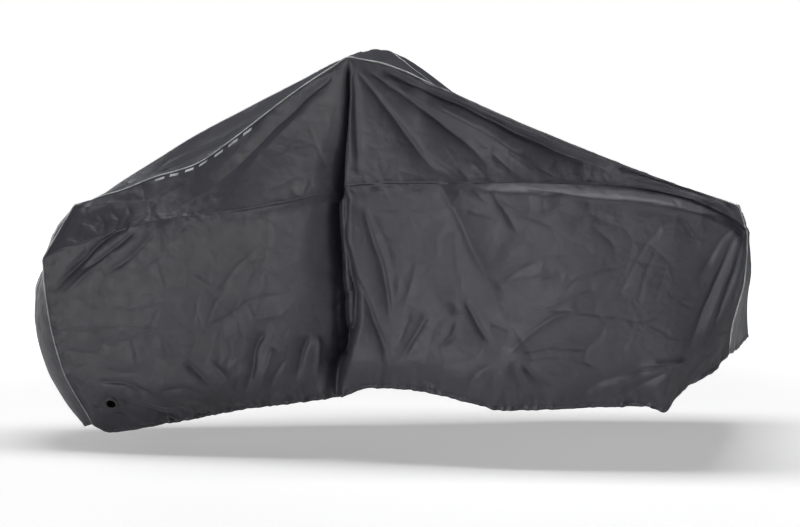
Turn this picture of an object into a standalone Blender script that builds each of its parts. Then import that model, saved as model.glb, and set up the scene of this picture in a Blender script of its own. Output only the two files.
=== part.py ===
"""A fitted cover for a box-type cargo bicycle, as it hangs over the handlebar, the saddle and the front box.

The cover is cut as two sides, each a lower and an upper panel, and one long centre gusset that runs from
the rear hem over the top to the front hem. A reflective piping is sewn into each of the gusset's two seams,
and a lock eyelet sits in the rear corner of each lower panel. The bicycle itself isn't part of the model.

Sizes are metres. +X runs to the front of the bicycle, -Y is the near side and +Z is up. The origin is the
place under the cover where the middle of the handlebar holds it.
"""

import bmesh
import bpy
import numpy as np
from mathutils import Matrix

# Driving sizes
CLOTH = 0.0015  # thickness of the coated cloth
SEAM_GAP = 0.0003  # left between pieces that are sewn together
PIPING_RADIUS = 0.002
EYELET_AT = (-0.775, -1.065)  # x and z of its middle, the same on both sides
EYELET_HOLE = 0.0145
EYELET_COLLAR = 0.0165  # outer radius of the barrel that passes through the cloth
EYELET_SEAT = 0.029  # half the side of the flat square of cloth round the eyelet
EYELET_REACH = 0.05  # the cloth within about this distance sets the square's place and slope
EYELET_STEPS = 24

# The grid of a side: columns run from the rear seam (-1) past the handlebar (0) to the front seam (1)
REAR_COLUMNS = 20
FRONT_COLUMNS = 24
COLUMN_CROWDING = 1.25  # above 1 the columns stand closer near the handlebar
LOWER_ROWS = (0, 0.10, 0.195, 0.27, 0.35, 0.43, 0.51, 0.59, 0.67, 0.75, 0.84, 0.93, 1)
UPPER_ROWS = (0, 0.17, 0.34, 0.51, 0.68, 0.85, 1)  # shares of the way from the side seam to the shoulder
LOWER_KNOTS = (0, 0.25, 0.55, 0.88, 1)  # where the rows meet hem, skirt, belly, rim and seam
STRIP_ROWS = 4  # cells of the strip that holds the eyelet, up from the hem
STRIP_COLUMNS = 5  # and forward from the rear seam
SEAT_CELL = (1, 2)  # row and column of the cell that the eyelet sits in
GUSSET_ACROSS = (0, 0.06, 0.20, 0.35, 0.50, 0.65, 0.80, 0.94, 1)

# Where the cloth rolls over the piping, the piping lies this share of the roll below the cloth's edge
ROLL_DROP = 0.4
FULL_ROLL = 0.012  # with a roll of this much or more the shoulder is the cloth's edge itself
LEAST_SHOULDER = 0.016  # from the piping to the shoulder

LEAST_SQUARE = 0.35  # sine of the sharpest angle between a grid line and the edge it is drawn in from
SHARP_ANGLE = 50  # degrees; edges that turn by more than this are shaded sharp

# Rails of each side, rear to front, one row for each section: x, y, z. "bar" is the x of the column that
# hangs from the end of the handlebar. "top" also holds how far the piping lies inside the cloth's edge.
NEAR = {
    "hem": {
        "bar": -0.075,
        "rows": (
            (-0.845, -0.120, -1.142),
            (-0.795, -0.120, -1.168),
            (-0.700, -0.125, -1.154),
            (-0.567, -0.140, -1.127),
            (-0.418, -0.175, -1.092),
            (-0.315, -0.210, -1.070),
            (-0.065, -0.300, -1.024),
            (0.033, -0.325, -0.990),
            (0.150, -0.350, -0.992),
            (0.315, -0.385, -1.020),
            (0.432, -0.405, -1.042),
            (0.615, -0.410, -1.034),
            (0.850, -0.410, -1.026),
            (0.900, -0.410, -1.041),
            (0.942, -0.405, -0.995),
            (0.986, -0.400, -0.957),
            (1.062, -0.385, -0.911),
            (1.090, -0.370, -0.874),
        ),
    },
    "skirt": {
        "bar": -0.070,
        "rows": (
            (-0.925, -0.190, -0.960),
            (-0.800, -0.225, -1.000),
            (-0.550, -0.265, -0.985),
            (-0.300, -0.295, -0.945),
            (-0.060, -0.340, -0.900),
            (0.150, -0.375, -0.880),
            (0.430, -0.435, -0.915),
            (0.650, -0.450, -0.910),
            (0.900, -0.450, -0.905),
            (1.020, -0.430, -0.850),
            (1.098, -0.390, -0.790),
        ),
    },
    "belly": {
        "bar": -0.060,
        "rows": (
            (-0.961, -0.190, -0.822),
            (-0.800, -0.225, -0.810),
            (-0.550, -0.270, -0.790),
            (-0.300, -0.300, -0.760),
            (-0.060, -0.345, -0.700),
            (0.150, -0.365, -0.680),
            (0.430, -0.410, -0.690),
            (0.650, -0.440, -0.690),
            (0.900, -0.445, -0.690),
            (1.030, -0.430, -0.665),
            (1.131, -0.405, -0.650),
        ),
    },
    "rim": {
        "bar": -0.055,
        "rows": (
            (-0.981, -0.172, -0.690),
            (-0.800, -0.215, -0.615),
            (-0.550, -0.257, -0.550),
            (-0.300, -0.302, -0.505),
            (-0.060, -0.347, -0.435),
            (0.150, -0.367, -0.420),
            (0.300, -0.387, -0.415),
            (0.450, -0.415, -0.408),
            (0.700, -0.436, -0.417),
            (0.880, -0.441, -0.434),
            (1.020, -0.436, -0.474),
            (1.100, -0.430, -0.515),
            (1.136, -0.410, -0.560),
        ),
    },
    "seam": {
        "bar": -0.050,
        "rows": (
            (-0.986, -0.165, -0.625),
            (-0.930, -0.180, -0.595),
            (-0.810, -0.205, -0.556),
            (-0.645, -0.235, -0.503),
            (-0.320, -0.290, -0.455),
            (-0.120, -0.325, -0.410),
            (-0.045, -0.342, -0.384),
            (0.120, -0.360, -0.373),
            (0.300, -0.375, -0.371),
            (0.470, -0.385, -0.371),
            (0.695, -0.381, -0.373),
            (0.825, -0.381, -0.385),
            (0.960, -0.388, -0.412),
            (1.055, -0.400, -0.450),
            (1.110, -0.410, -0.480),
            (1.136, -0.408, -0.510),
        ),
    },
    "top": {
        "bar": -0.033,
        "rows": (
            (-0.898, -0.125, -0.459, 0.014),
            (-0.852, -0.120, -0.448, 0.010),
            (-0.811, -0.120, -0.434, 0.000),
            (-0.752, -0.125, -0.417, 0.000),
            (-0.642, -0.135, -0.374, 0.000),
            (-0.520, -0.150, -0.336, 0.000),
            (-0.409, -0.180, -0.264, 0.000),
            (-0.327, -0.205, -0.202, 0.000),
            (-0.184, -0.270, -0.097, 0.000),
            (-0.076, -0.310, -0.028, 0.000),
            (-0.033, -0.330, -0.003, 0.000),
            (0.002, -0.330, -0.010, 0.000),
            (0.058, -0.330, -0.020, 0.000),
            (0.129, -0.330, -0.044, 0.000),
            (0.200, -0.335, -0.074, 0.008),
            (0.280, -0.340, -0.106, 0.016),
            (0.472, -0.365, -0.187, 0.022),
            (0.706, -0.385, -0.281, 0.022),
            (0.939, -0.405, -0.371, 0.014),
            (1.065, -0.415, -0.414, 0.006),
            (1.110, -0.418, -0.431, 0.000),
        ),
    },
}
FAR = {
    "hem": {
        "bar": 0.030,
        "rows": (
            (-0.830, 0.120, -1.135),
            (-0.760, 0.120, -1.160),
            (-0.600, 0.135, -1.135),
            (-0.400, 0.180, -1.095),
            (-0.150, 0.260, -1.040),
            (0.100, 0.330, -0.990),
            (0.220, 0.355, -0.985),
            (0.500, 0.405, -1.030),
            (0.900, 0.415, -1.035),
            (0.990, 0.410, -1.000),
            (1.100, 0.395, -0.940),
            (1.200, 0.375, -0.898),
        ),
    },
    "skirt": {
        "bar": 0.030,
        "rows": (
            (-0.905, 0.190, -0.965),
            (-0.750, 0.235, -0.990),
            (-0.450, 0.280, -0.950),
            (-0.200, 0.315, -0.915),
            (0.050, 0.350, -0.880),
            (0.300, 0.395, -0.885),
            (0.550, 0.440, -0.910),
            (0.950, 0.450, -0.910),
            (1.100, 0.430, -0.860),
            (1.202, 0.395, -0.820),
        ),
    },
    "belly": {
        "bar": 0.030,
        "rows": (
            (-0.952, 0.185, -0.825),
            (-0.750, 0.232, -0.810),
            (-0.450, 0.285, -0.780),
            (-0.200, 0.318, -0.750),
            (0.050, 0.350, -0.700),
            (0.300, 0.380, -0.690),
            (0.550, 0.435, -0.700),
            (0.950, 0.445, -0.705),
            (1.100, 0.430, -0.705),
            (1.204, 0.402, -0.715),
        ),
    },
    "rim": {
        "bar": 0.030,
        "rows": (
            (-0.975, 0.168, -0.695),
            (-0.750, 0.220, -0.610),
            (-0.450, 0.275, -0.560),
            (-0.200, 0.312, -0.505),
            (0.030, 0.347, -0.450),
            (0.250, 0.372, -0.470),
            (0.450, 0.412, -0.515),
            (0.700, 0.432, -0.535),
            (1.000, 0.437, -0.555),
            (1.120, 0.428, -0.585),
            (1.202, 0.404, -0.635),
        ),
    },
    "seam": {
        "bar": 0.035,
        "rows": (
            (-0.982, 0.160, -0.630),
            (-0.750, 0.212, -0.550),
            (-0.450, 0.268, -0.480),
            (-0.200, 0.305, -0.430),
            (0.030, 0.340, -0.390),
            (0.250, 0.367, -0.410),
            (0.450, 0.402, -0.455),
            (0.700, 0.425, -0.478),
            (1.000, 0.430, -0.500),
            (1.120, 0.426, -0.535),
            (1.202, 0.402, -0.590),
        ),
    },
    "top": {
        "bar": 0.038,
        "rows": (
            (-0.898, 0.110, -0.480, 0.000),
            (-0.848, 0.100, -0.452, 0.000),
            (-0.789, 0.110, -0.411, 0.000),
            (-0.695, 0.120, -0.352, 0.000),
            (-0.554, 0.140, -0.264, 0.000),
            (-0.415, 0.170, -0.190, 0.000),
            (-0.230, 0.230, -0.094, 0.000),
            (-0.091, 0.290, -0.025, 0.000),
            (0.038, 0.330, 0.001, 0.000),
            (0.095, 0.345, -0.010, 0.045),
            (0.149, 0.355, -0.041, 0.065),
            (0.220, 0.365, -0.097, 0.065),
            (0.400, 0.385, -0.245, 0.035),
            (0.520, 0.400, -0.330, 0.020),
            (0.600, 0.410, -0.375, 0.020),
            (0.800, 0.420, -0.418, 0.020),
            (1.000, 0.425, -0.456, 0.020),
            (1.120, 0.425, -0.492, 0.012),
            (1.180, 0.420, -0.512, 0.000),
        ),
    },
}

# Folds, each from its root to its end: x and z of both, half width at both, and depth, outward above zero
NEAR_FOLDS = (
    # the deep valley under the end of the handlebar, and the ridge in front of it
    (-0.046, -0.060, -0.078, -0.430, 0.018, 0.036, -0.036),
    (-0.078, -0.330, -0.090, -0.720, 0.034, 0.050, -0.050),
    (-0.092, -0.560, -0.072, -1.180, 0.050, 0.046, -0.050),
    (-0.020, -0.620, -0.062, -0.900, 0.024, 0.040, -0.022),
    (-0.028, -0.050, -0.015, -0.480, 0.018, 0.026, 0.016),
    (-0.024, -0.400, 0.000, -0.600, 0.024, 0.034, 0.026),
    (0.006, -0.540, 0.050, -0.900, 0.026, 0.036, 0.014),
    # bands that run from the end of the handlebar towards the front box
    (0.090, -0.060, 0.460, -0.235, 0.022, 0.035, -0.018),
    (0.380, -0.205, 0.840, -0.395, 0.035, 0.030, -0.020),
    (0.220, -0.145, 0.720, -0.370, 0.025, 0.030, 0.014),
    (0.220, -0.175, 0.600, -0.380, 0.020, 0.030, -0.012),
    (-0.010, -0.040, 0.300, -0.385, 0.016, 0.036, -0.014),
    # the band that falls back from it towards the rear wheel
    (-0.100, -0.100, -0.500, -0.410, 0.024, 0.045, -0.020),
    # the rear top corner
    (-0.800, -0.560, -0.980, -0.760, 0.022, 0.026, -0.020),
    (-0.735, -0.545, -0.890, -0.690, 0.020, 0.024, -0.014),
    (-0.620, -0.525, -0.820, -0.680, 0.020, 0.026, -0.010),
    # the front corner of the box
    (1.120, -0.480, 0.940, -0.920, 0.016, 0.040, -0.030),
    (1.100, -0.490, 0.990, -0.710, 0.016, 0.026, -0.012),
    (1.128, -0.500, 1.045, -0.830, 0.014, 0.026, -0.018),
    # where the box and the wheel guards push the skirt out, and where it tucks in below them
    (0.410, -0.920, 0.545, -0.770, 0.045, 0.030, 0.020),
    (0.850, -0.930, 0.990, -0.880, 0.035, 0.035, 0.016),
    (0.440, -0.930, 0.600, -1.040, 0.035, 0.035, -0.018),
    (0.540, -0.995, 0.910, -0.940, 0.030, 0.030, -0.020),
    (0.205, -0.370, 0.440, -0.900, 0.026, 0.040, 0.014),
    # slack between the handlebar and the box
    (0.015, -0.430, 0.075, -1.000, 0.028, 0.035, -0.018),
    (0.135, -0.560, 0.160, -1.050, 0.030, 0.035, -0.012),
    (0.335, -0.700, 0.290, -0.960, 0.026, 0.030, -0.012),
    # gathers above the hem behind the handlebar
    (-0.270, -0.800, -0.350, -1.100, 0.022, 0.030, -0.016),
    (-0.165, -0.800, -0.185, -1.060, 0.022, 0.026, -0.018),
    (-0.470, -0.960, -0.540, -1.120, 0.024, 0.028, -0.010),
    (-0.740, -1.040, -0.540, -1.100, 0.020, 0.024, -0.008),
)
FAR_FOLDS = (
    (0.040, -0.060, 0.030, -0.480, 0.022, 0.040, -0.034),
    (0.030, -0.380, 0.020, -1.150, 0.042, 0.055, -0.050),
    (-0.045, -0.060, -0.030, -0.520, 0.020, 0.032, 0.016),
    (-0.020, -0.080, -0.420, -0.430, 0.024, 0.045, -0.018),
    (0.085, -0.120, 0.300, -0.420, 0.020, 0.036, -0.018),
    (0.160, -0.480, 0.220, -1.050, 0.030, 0.038, -0.016),
    (-0.250, -0.780, -0.300, -1.100, 0.024, 0.030, -0.016),
    (-0.560, -0.900, -0.620, -1.150, 0.026, 0.030, -0.012),
    (-0.780, -0.560, -0.960, -0.760, 0.022, 0.026, -0.018),
    (1.190, -0.530, 1.030, -0.920, 0.018, 0.040, -0.026),
    (0.430, -0.860, 0.560, -0.760, 0.045, 0.032, 0.018),
    (0.560, -0.995, 0.930, -0.950, 0.030, 0.030, -0.018),
)
FOLD_FADE = 0.05  # share of a side's length in which folds die out towards a piped seam
SHOULDER_FOLD = 0.4  # share of a fold's depth that is left at the shoulder; none is left at the piping
RIPPLE_LENGTH = 0.17  # the hem's elastic gathers the cloth in waves of about this length
RIPPLE_HEIGHT = 0.006
RIPPLE_REACH = 0.10  # how far up from the hem the waves reach

# How far the gusset's middle stands out from the straight line between its two seams. The path runs from
# the rear hem (-3) up to the side seam (-2), to the corner (-1), past the handlebar (0), to the front corner
# (1), the front side seam (2) and the front hem (3).
GUSSET_CROWN = (
    (-3.00, 0.055),
    (-2.80, 0.080),
    (-2.50, 0.095),
    (-2.20, 0.065),
    (-2.00, 0.014),
    (-1.50, 0.024),
    (-1.00, 0.000),
    (-0.55, -0.012),
    (-0.25, -0.020),
    (-0.06, -0.002),
    (0.00, 0.004),
    (0.06, -0.004),
    (0.30, -0.045),
    (0.60, -0.085),
    (0.85, -0.045),
    (1.00, -0.006),
    (2.00, 0.000),
    (2.40, 0.012),
    (3.00, 0.020),
)

# Half the section of the eyelet, as radius and height above the middle of the cloth
EYELET_SECTION = (
    (EYELET_HOLE, -0.0018),
    (EYELET_HOLE + 0.0008, -0.0023),
    (0.0200, -0.0023),
    (0.0205, -0.0011),
    (EYELET_COLLAR, -0.0011),
    (EYELET_COLLAR, 0.0011),
    (0.0240, 0.0011),
    (0.0245, 0.0018),
    (0.0225, 0.0028),
    (0.0170, 0.0030),
    (EYELET_HOLE, 0.0018),
)

COLOURS = {
    "cover_cloth": ((0.068, 0.070, 0.074), 0.55),
    "reflective_piping": ((0.42, 0.43, 0.44), 0.40),
    "eyelet_plastic": ((0.012, 0.012, 0.013), 0.35),
}


def clear_scene():
    for thing in list(bpy.data.objects):
        bpy.data.objects.remove(thing, do_unlink=True)


def make_materials():
    materials = {}
    for name, (colour, roughness) in COLOURS.items():
        material = bpy.data.materials.new(name)
        material.use_nodes = True
        shader = material.node_tree.nodes["Principled BSDF"]
        shader.inputs["Base Color"].default_value = (*colour, 1.0)
        shader.inputs["Roughness"].default_value = roughness
        shader.inputs["Metallic"].default_value = 0.0
        materials[name] = material
    return materials


def through(knots, values, at):
    """Reads a smooth curve through the knots, which never overshoots them, at the places asked for."""
    knots = np.asarray(knots, float)
    at = np.asarray(at, float)
    values = np.asarray(values, float)
    shape = values.shape[1:]
    values = values.reshape(len(knots), -1)
    step = np.diff(knots)[:, None]
    rise = np.diff(values, axis=0) / step
    slope = np.zeros_like(values)
    slope[0], slope[-1] = rise[0], rise[-1]
    same_way = rise[:-1] * rise[1:] > 0
    both = np.where(same_way, rise[:-1] * rise[1:], 0)
    total = np.where(same_way, rise[:-1] + rise[1:], 1)
    slope[1:-1] = 2 * both / total
    k = np.clip(np.searchsorted(knots, at, side="right") - 1, 0, len(knots) - 2)
    h = step[k]
    t = (at[:, None] - knots[k][:, None]) / h
    read = (
        (2 * t**3 - 3 * t**2 + 1) * values[k]
        + (t**3 - 2 * t**2 + t) * h * slope[k]
        + (3 * t**2 - 2 * t**3) * values[k + 1]
        + (t**3 - t**2) * h * slope[k + 1]
    )
    return read.reshape(len(at), *shape)


def smooth_step(x):
    x = np.clip(x, 0, 1)
    return x * x * (3 - 2 * x)


def columns():
    rear = -((np.arange(REAR_COLUMNS, 0, -1) / REAR_COLUMNS) ** COLUMN_CROWDING)
    front = (np.arange(FRONT_COLUMNS + 1) / FRONT_COLUMNS) ** COLUMN_CROWDING
    return np.concatenate([rear, front])


def along_rail(rail, at):
    """Points of a rail at the columns: x, then what the rows hold."""
    rows = np.array(rail["rows"])
    bar = rail["bar"]
    x = bar + np.where(at < 0, at * (bar - rows[0, 0]), at * (rows[-1, 0] - bar))
    return np.column_stack([x, through(rows[:, 0], rows[:, 1:], x)])


def unit(vectors):
    return vectors / np.maximum(np.linalg.norm(vectors, axis=-1, keepdims=True), 1e-12)


def top_edge(rail, seam, at, inward):
    """The shoulder, where the cloth rolls over, and the piping that lies inside it."""
    read = along_rail(rail, at)
    edge, roll = read[:, :3], np.maximum(read[:, 3:], 0)
    run = unit(np.gradient(edge, axis=0))
    away = np.column_stack([-run[:, 2], np.zeros(len(at)), run[:, 0]])
    piping = edge + roll * (np.array([0, inward, 0]) - ROLL_DROP * unit(away))
    rolled = np.minimum(roll / FULL_ROLL, 1) * smooth_step((1 - np.abs(at)) / FOLD_FADE)[:, None]
    way = unit((1 - rolled) * unit(seam - piping) + rolled * unit(edge - piping))
    distance = np.linalg.norm(edge - piping, axis=1, keepdims=True)
    return piping + way * np.maximum(distance, LEAST_SHOULDER), piping


def outward_normals(grid, outward):
    """One normal for each point, pointing away from the bicycle; outward is -1 on the near side."""
    forward_up = grid[1:, 1:] - grid[:-1, :-1]
    back_up = grid[1:, :-1] - grid[:-1, 1:]
    cell = np.pad(unit(np.cross(forward_up, back_up)), ((1, 1), (1, 1), (0, 0)))
    return -outward * unit(cell[:-1, :-1] + cell[1:, :-1] + cell[:-1, 1:] + cell[1:, 1:])


def fold_depths(grid, folds):
    """How far each point of a side stands out of its smooth shape."""
    x, z = grid[:, :, 0], grid[:, :, 2]
    depths = np.zeros(x.shape)
    for x0, z0, x1, z1, root_width, end_width, depth in folds:
        length_squared = (x1 - x0) ** 2 + (z1 - z0) ** 2
        t = np.clip(((x - x0) * (x1 - x0) + (z - z0) * (z1 - z0)) / length_squared, 0, 1)
        off = np.hypot(x - x0 - t * (x1 - x0), z - z0 - t * (z1 - z0))
        width = root_width + t * (end_width - root_width)
        depths += depth * (1 - (2 * t - 1) ** 4) * np.exp(-((off / width) ** 2))
    return depths


def hem_ripple(grid):
    """The waves that the elastic in the hem gathers the cloth into."""
    x, z = grid[:, :, 0], grid[:, :, 2]
    up = z - z[0]
    wave = np.sin(2 * np.pi * x / RIPPLE_LENGTH + 1.8 * np.sin(7 * x))
    return RIPPLE_HEIGHT * wave * np.exp(-((up / RIPPLE_REACH) ** 2))


def side_grid(rails, folds, outward):
    """The middle surface of one side, rows from hem to piping and columns from rear to front."""
    at = columns()
    rail = {name: along_rail(rails[name], at) for name in ("hem", "skirt", "belly", "rim", "seam")}
    shoulder, piping = top_edge(rails["top"], rail["seam"], at, -outward)
    lower = through(LOWER_KNOTS, list(rail.values()), LOWER_ROWS)
    taut = [rail["seam"] + share * (shoulder - rail["seam"]) for share in UPPER_ROWS[1:]]
    grid = np.concatenate([lower, taut, [piping]])
    ends = smooth_step((1 - np.abs(at)) / FOLD_FADE)[None, :]
    top = np.ones(len(grid))
    top[-2:] = (SHOULDER_FOLD, 0)
    depths = (fold_depths(grid, folds) + hem_ripple(grid)) * ends * top[:, None]
    grid = grid + outward_normals(grid, outward) * depths[:, :, None]
    return seat_eyelet(grid, outward)


def seat_eyelet(grid, outward):
    """Lays one cell of the grid flat and square, with its middle where the eyelet goes."""
    row, column = SEAT_CELL
    x, z = EYELET_AT
    near_it = np.hypot(grid[:, :, 0] - x, grid[:, :, 2] - z)
    weight = np.exp(-((near_it / EYELET_REACH) ** 2))
    middle = (grid * weight[:, :, None]).sum((0, 1)) / weight.sum()
    normal = unit((outward_normals(grid, outward) * weight[:, :, None]).sum((0, 1)))
    reach = np.array([x, 0, z]) - middle * (1, 0, 1)
    middle = middle + reach + (0, -(reach @ normal) / normal[1], 0)
    forward = unit(np.cross(normal, (0, 0, 1)) * outward)
    up = unit(np.cross(normal, forward) * -outward)
    for r in (0, 1):
        for c in (0, 1):
            corner = (2 * c - 1) * forward + (2 * r - 1) * up
            grid[row + r, column + c] = middle + EYELET_SEAT * corner
    return grid


def seat_frame(grid, outward):
    """The eyelet's place: its middle, and the directions forward, out of the cloth and up."""
    row, column = SEAT_CELL
    cell = grid[row : row + 2, column : column + 2]
    forward = unit(cell[0, 1] - cell[0, 0])
    up = unit(cell[1, 0] - cell[0, 0])
    return cell.mean((0, 1)), forward, outward * np.cross(up, forward), up


def drawn_in(grid, side, distance):
    """Moves one edge of a grid inward, by a distance measured square to that edge."""
    grid = grid.copy()
    edge, inner = {
        "first_row": (grid[0], grid[1]),
        "last_row": (grid[-1], grid[-2]),
        "first_column": (grid[:, 0], grid[:, 1]),
        "last_column": (grid[:, -1], grid[:, -2]),
    }[side]
    way = unit(inner - edge)
    run = unit(np.diff(edge, axis=0))
    half_turn = (1 + (way[:-1] * way[1:]).sum(1)) / 2
    before = np.linalg.norm(np.cross(run, way[:-1]), axis=1) * half_turn
    after = np.linalg.norm(np.cross(run, way[1:]), axis=1) * half_turn
    square = np.minimum(np.append(before, 1), np.insert(after, 0, 1))
    edge += way * distance / np.maximum(square, LEAST_SQUARE)[:, None]
    return grid


def sheet_solid(name, grid, normals, material, cells=None):
    """A closed sheet of the cloth's thickness on those cells of a grid of points that are kept."""
    rows, cols = grid.shape[:2]
    if cells is None:
        cells = np.ones((rows - 1, cols - 1), bool)
    mesh = bmesh.new()
    made = {}

    def corner(r, c, face):
        if (r, c, face) not in made:
            made[r, c, face] = mesh.verts.new(grid[r, c] + normals[r, c] * face * CLOTH / 2)
        return made[r, c, face]

    for r, c in np.argwhere(cells):
        ring = ((r, c), (r, c + 1), (r + 1, c + 1), (r + 1, c))
        one_way = np.linalg.norm(grid[ring[0]] - grid[ring[2]])
        other_way = np.linalg.norm(grid[ring[1]] - grid[ring[3]])
        halves = ((0, 1, 2), (0, 2, 3)) if one_way < other_way else ((0, 1, 3), (1, 2, 3))
        for half in halves:
            mesh.faces.new([corner(*ring[k], 1) for k in half])
            mesh.faces.new([corner(*ring[k], -1) for k in half[::-1]])
        beyond = ((r - 1, c), (r, c + 1), (r + 1, c), (r, c - 1))
        for k, (other_r, other_c) in enumerate(beyond):
            inside = 0 <= other_r < rows - 1 and 0 <= other_c < cols - 1
            if inside and cells[other_r, other_c]:
                continue
            a, b = ring[k], ring[(k + 1) % 4]
            mesh.faces.new([corner(*b, 1), corner(*a, 1), corner(*a, -1), corner(*b, -1)])
    bmesh.ops.recalc_face_normals(mesh, faces=mesh.faces)
    return add_object(name, mesh, material)


def add_object(name, mesh, material):
    data = bpy.data.meshes.new(name)
    mesh.to_mesh(data)
    mesh.free()
    data.materials.append(material)
    data.shade_smooth()
    data.set_sharp_from_angle(angle=np.radians(SHARP_ANGLE))
    thing = bpy.data.objects.new(name, data)
    bpy.context.scene.collection.objects.link(thing)
    return thing


def seam_path(grid):
    """The points of a side's piped seam: up the rear, along the top and down the front."""
    return np.concatenate([grid[:, 0], grid[-1, 1:-1], grid[::-1, -1]])


def make_piping(name, points, material):
    curve = bpy.data.curves.new(name, "CURVE")
    curve.dimensions = "3D"
    curve.bevel_depth = PIPING_RADIUS
    curve.bevel_resolution = 1
    curve.use_fill_caps = True
    line = curve.splines.new("POLY")
    line.points.add(len(points) - 1)
    for point, place in zip(line.points, points):
        point.co = (*place, 1.0)
    curve.materials.append(material)
    thing = bpy.data.objects.new(name, curve)
    bpy.context.scene.collection.objects.link(thing)
    return thing


def make_side(name, grid, outward, materials):
    """The two panels of a side, the strip with the eyelet's hole, and the eyelet."""
    cloth = materials["cover_cloth"]
    clear = PIPING_RADIUS + SEAM_GAP
    normals = outward_normals(grid, outward)
    inner = drawn_in(drawn_in(grid, "first_column", clear), "last_column", clear)
    seam = len(LOWER_ROWS) - 1

    upper = drawn_in(drawn_in(inner[seam:], "first_row", SEAM_GAP / 2), "last_row", clear)
    sheet_solid(f"{name}_upper_panel", upper, normals[seam:], cloth)

    lower = drawn_in(inner[: seam + 1], "last_row", SEAM_GAP / 2)
    cells = np.ones((seam, len(grid[0]) - 1), bool)
    cells[:STRIP_ROWS, :STRIP_COLUMNS] = False
    sheet_solid(f"{name}_lower_panel", lower, normals[: seam + 1], cloth, cells)

    corner = lower[: STRIP_ROWS + 1, : STRIP_COLUMNS + 1]
    corner = drawn_in(drawn_in(corner, "last_row", SEAM_GAP), "last_column", SEAM_GAP)
    corner_normals = normals[: STRIP_ROWS + 1, : STRIP_COLUMNS + 1].copy()
    middle, forward, out, up = seat_frame(grid, outward)
    row, column = SEAT_CELL
    corner_normals[row : row + 2, column : column + 2] = out
    strip = sheet_solid(f"{name}_eyelet_strip", corner, corner_normals, cloth)

    axes = np.column_stack([-outward * forward, up, out, middle])
    place = Matrix([*axes.tolist(), (0, 0, 0, 1)])
    cut_eyelet_hole(strip, name, place)
    make_eyelet(f"{name}_eyelet", place, materials["eyelet_plastic"])


def cut_eyelet_hole(strip, name, place):
    mesh = bmesh.new()
    radius = EYELET_COLLAR + SEAM_GAP * 2
    bmesh.ops.create_cone(
        mesh, cap_ends=True, segments=EYELET_STEPS, radius1=radius, radius2=radius, depth=10 * CLOTH
    )
    cutter = add_object(f"{name}_eyelet_cutter", mesh, strip.data.materials[0])
    cutter.matrix_world = place
    cutter.hide_render = True
    cutter.display_type = "WIRE"
    cut = strip.modifiers.new("eyelet_hole", "BOOLEAN")
    cut.operation = "DIFFERENCE"
    cut.solver = "EXACT"
    cut.object = cutter


def make_eyelet(name, place, material):
    """A grommet turned from its half section, clamped on both faces of the cloth."""
    mesh = bmesh.new()
    rings = []
    for turn in np.arange(EYELET_STEPS) * 2 * np.pi / EYELET_STEPS:
        rings.append(
            [mesh.verts.new((r * np.cos(turn), r * np.sin(turn), h)) for r, h in EYELET_SECTION]
        )
    for ring, following in zip(rings, rings[1:] + rings[:1]):
        for k in range(len(EYELET_SECTION)):
            m = (k + 1) % len(EYELET_SECTION)
            mesh.faces.new([ring[k], following[k], following[m], ring[m]])
    bmesh.ops.recalc_face_normals(mesh, faces=mesh.faces)
    thing = add_object(name, mesh, material)
    thing.matrix_world = place
    return thing


def path_places(grid):
    """The place of each point of a seam path, from -3 at the rear hem to 3 at the front hem."""
    seam = len(LOWER_ROWS) - 1
    top = len(grid) - 1
    lower = np.arange(seam) / seam - 3
    upper = np.arange(top - seam) / (top - seam) - 2
    rear = np.concatenate([lower, upper])
    return np.concatenate([rear, columns(), -rear[::-1]])


def make_gusset(near, far, cloth):
    """The long strip between the two piped seams, sagging between them or standing out."""
    near_seam, far_seam = seam_path(near), seam_path(far)
    places = path_places(near)
    share = np.array(GUSSET_ACROSS)[:, None, None]
    grid = near_seam + share * (far_seam - near_seam)
    run = unit(np.gradient((near_seam + far_seam) / 2, axis=0))
    out = unit(np.cross(run, far_seam - near_seam))
    rows = np.array(GUSSET_CROWN)
    crown = through(rows[:, 0], rows[:, 1], places)
    grid = grid + 4 * share * (1 - share) * (crown[:, None] * out)
    normals = outward_normals(grid, -1)
    clear = PIPING_RADIUS + SEAM_GAP
    grid = drawn_in(drawn_in(grid, "first_row", clear), "last_row", clear)
    return sheet_solid("centre_gusset", grid, normals, cloth)


def main():
    clear_scene()
    materials = make_materials()
    near = side_grid(NEAR, NEAR_FOLDS, -1)
    far = side_grid(FAR, FAR_FOLDS, 1)
    make_side("near", near, -1, materials)
    make_side("far", far, 1, materials)
    make_gusset(near, far, materials["cover_cloth"])
    make_piping("near_piping", seam_path(near), materials["reflective_piping"])
    make_piping("far_piping", seam_path(far), materials["reflective_piping"])


main()
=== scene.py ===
"""The dressed model of the cargo bicycle cover: dense draped sheets with folds, seams and hem.

The rails are the ones that the solids are lofted through, so each sheet lies where its solid does.
+X is the front, -Y the near side, +Z up, and the origin is under the cover at the handlebar. Sizes
are metres, except in the tables of rails and folds, which are in millimetres.
"""

import bpy
import numpy as np
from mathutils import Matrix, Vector, noise


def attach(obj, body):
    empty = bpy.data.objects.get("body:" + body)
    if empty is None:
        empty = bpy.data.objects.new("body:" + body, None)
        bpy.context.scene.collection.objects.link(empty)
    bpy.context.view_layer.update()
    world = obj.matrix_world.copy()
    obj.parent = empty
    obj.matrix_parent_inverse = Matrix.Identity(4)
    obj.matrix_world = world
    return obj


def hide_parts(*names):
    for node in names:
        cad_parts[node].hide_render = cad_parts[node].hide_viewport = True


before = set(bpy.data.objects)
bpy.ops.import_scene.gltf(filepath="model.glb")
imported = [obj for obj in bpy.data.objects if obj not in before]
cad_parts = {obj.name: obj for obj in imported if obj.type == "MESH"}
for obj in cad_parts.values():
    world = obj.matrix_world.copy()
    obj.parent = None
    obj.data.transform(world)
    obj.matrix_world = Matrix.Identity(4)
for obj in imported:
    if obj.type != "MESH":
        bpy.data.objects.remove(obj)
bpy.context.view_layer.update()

MM = 1000  # millimetres in a metre

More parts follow.
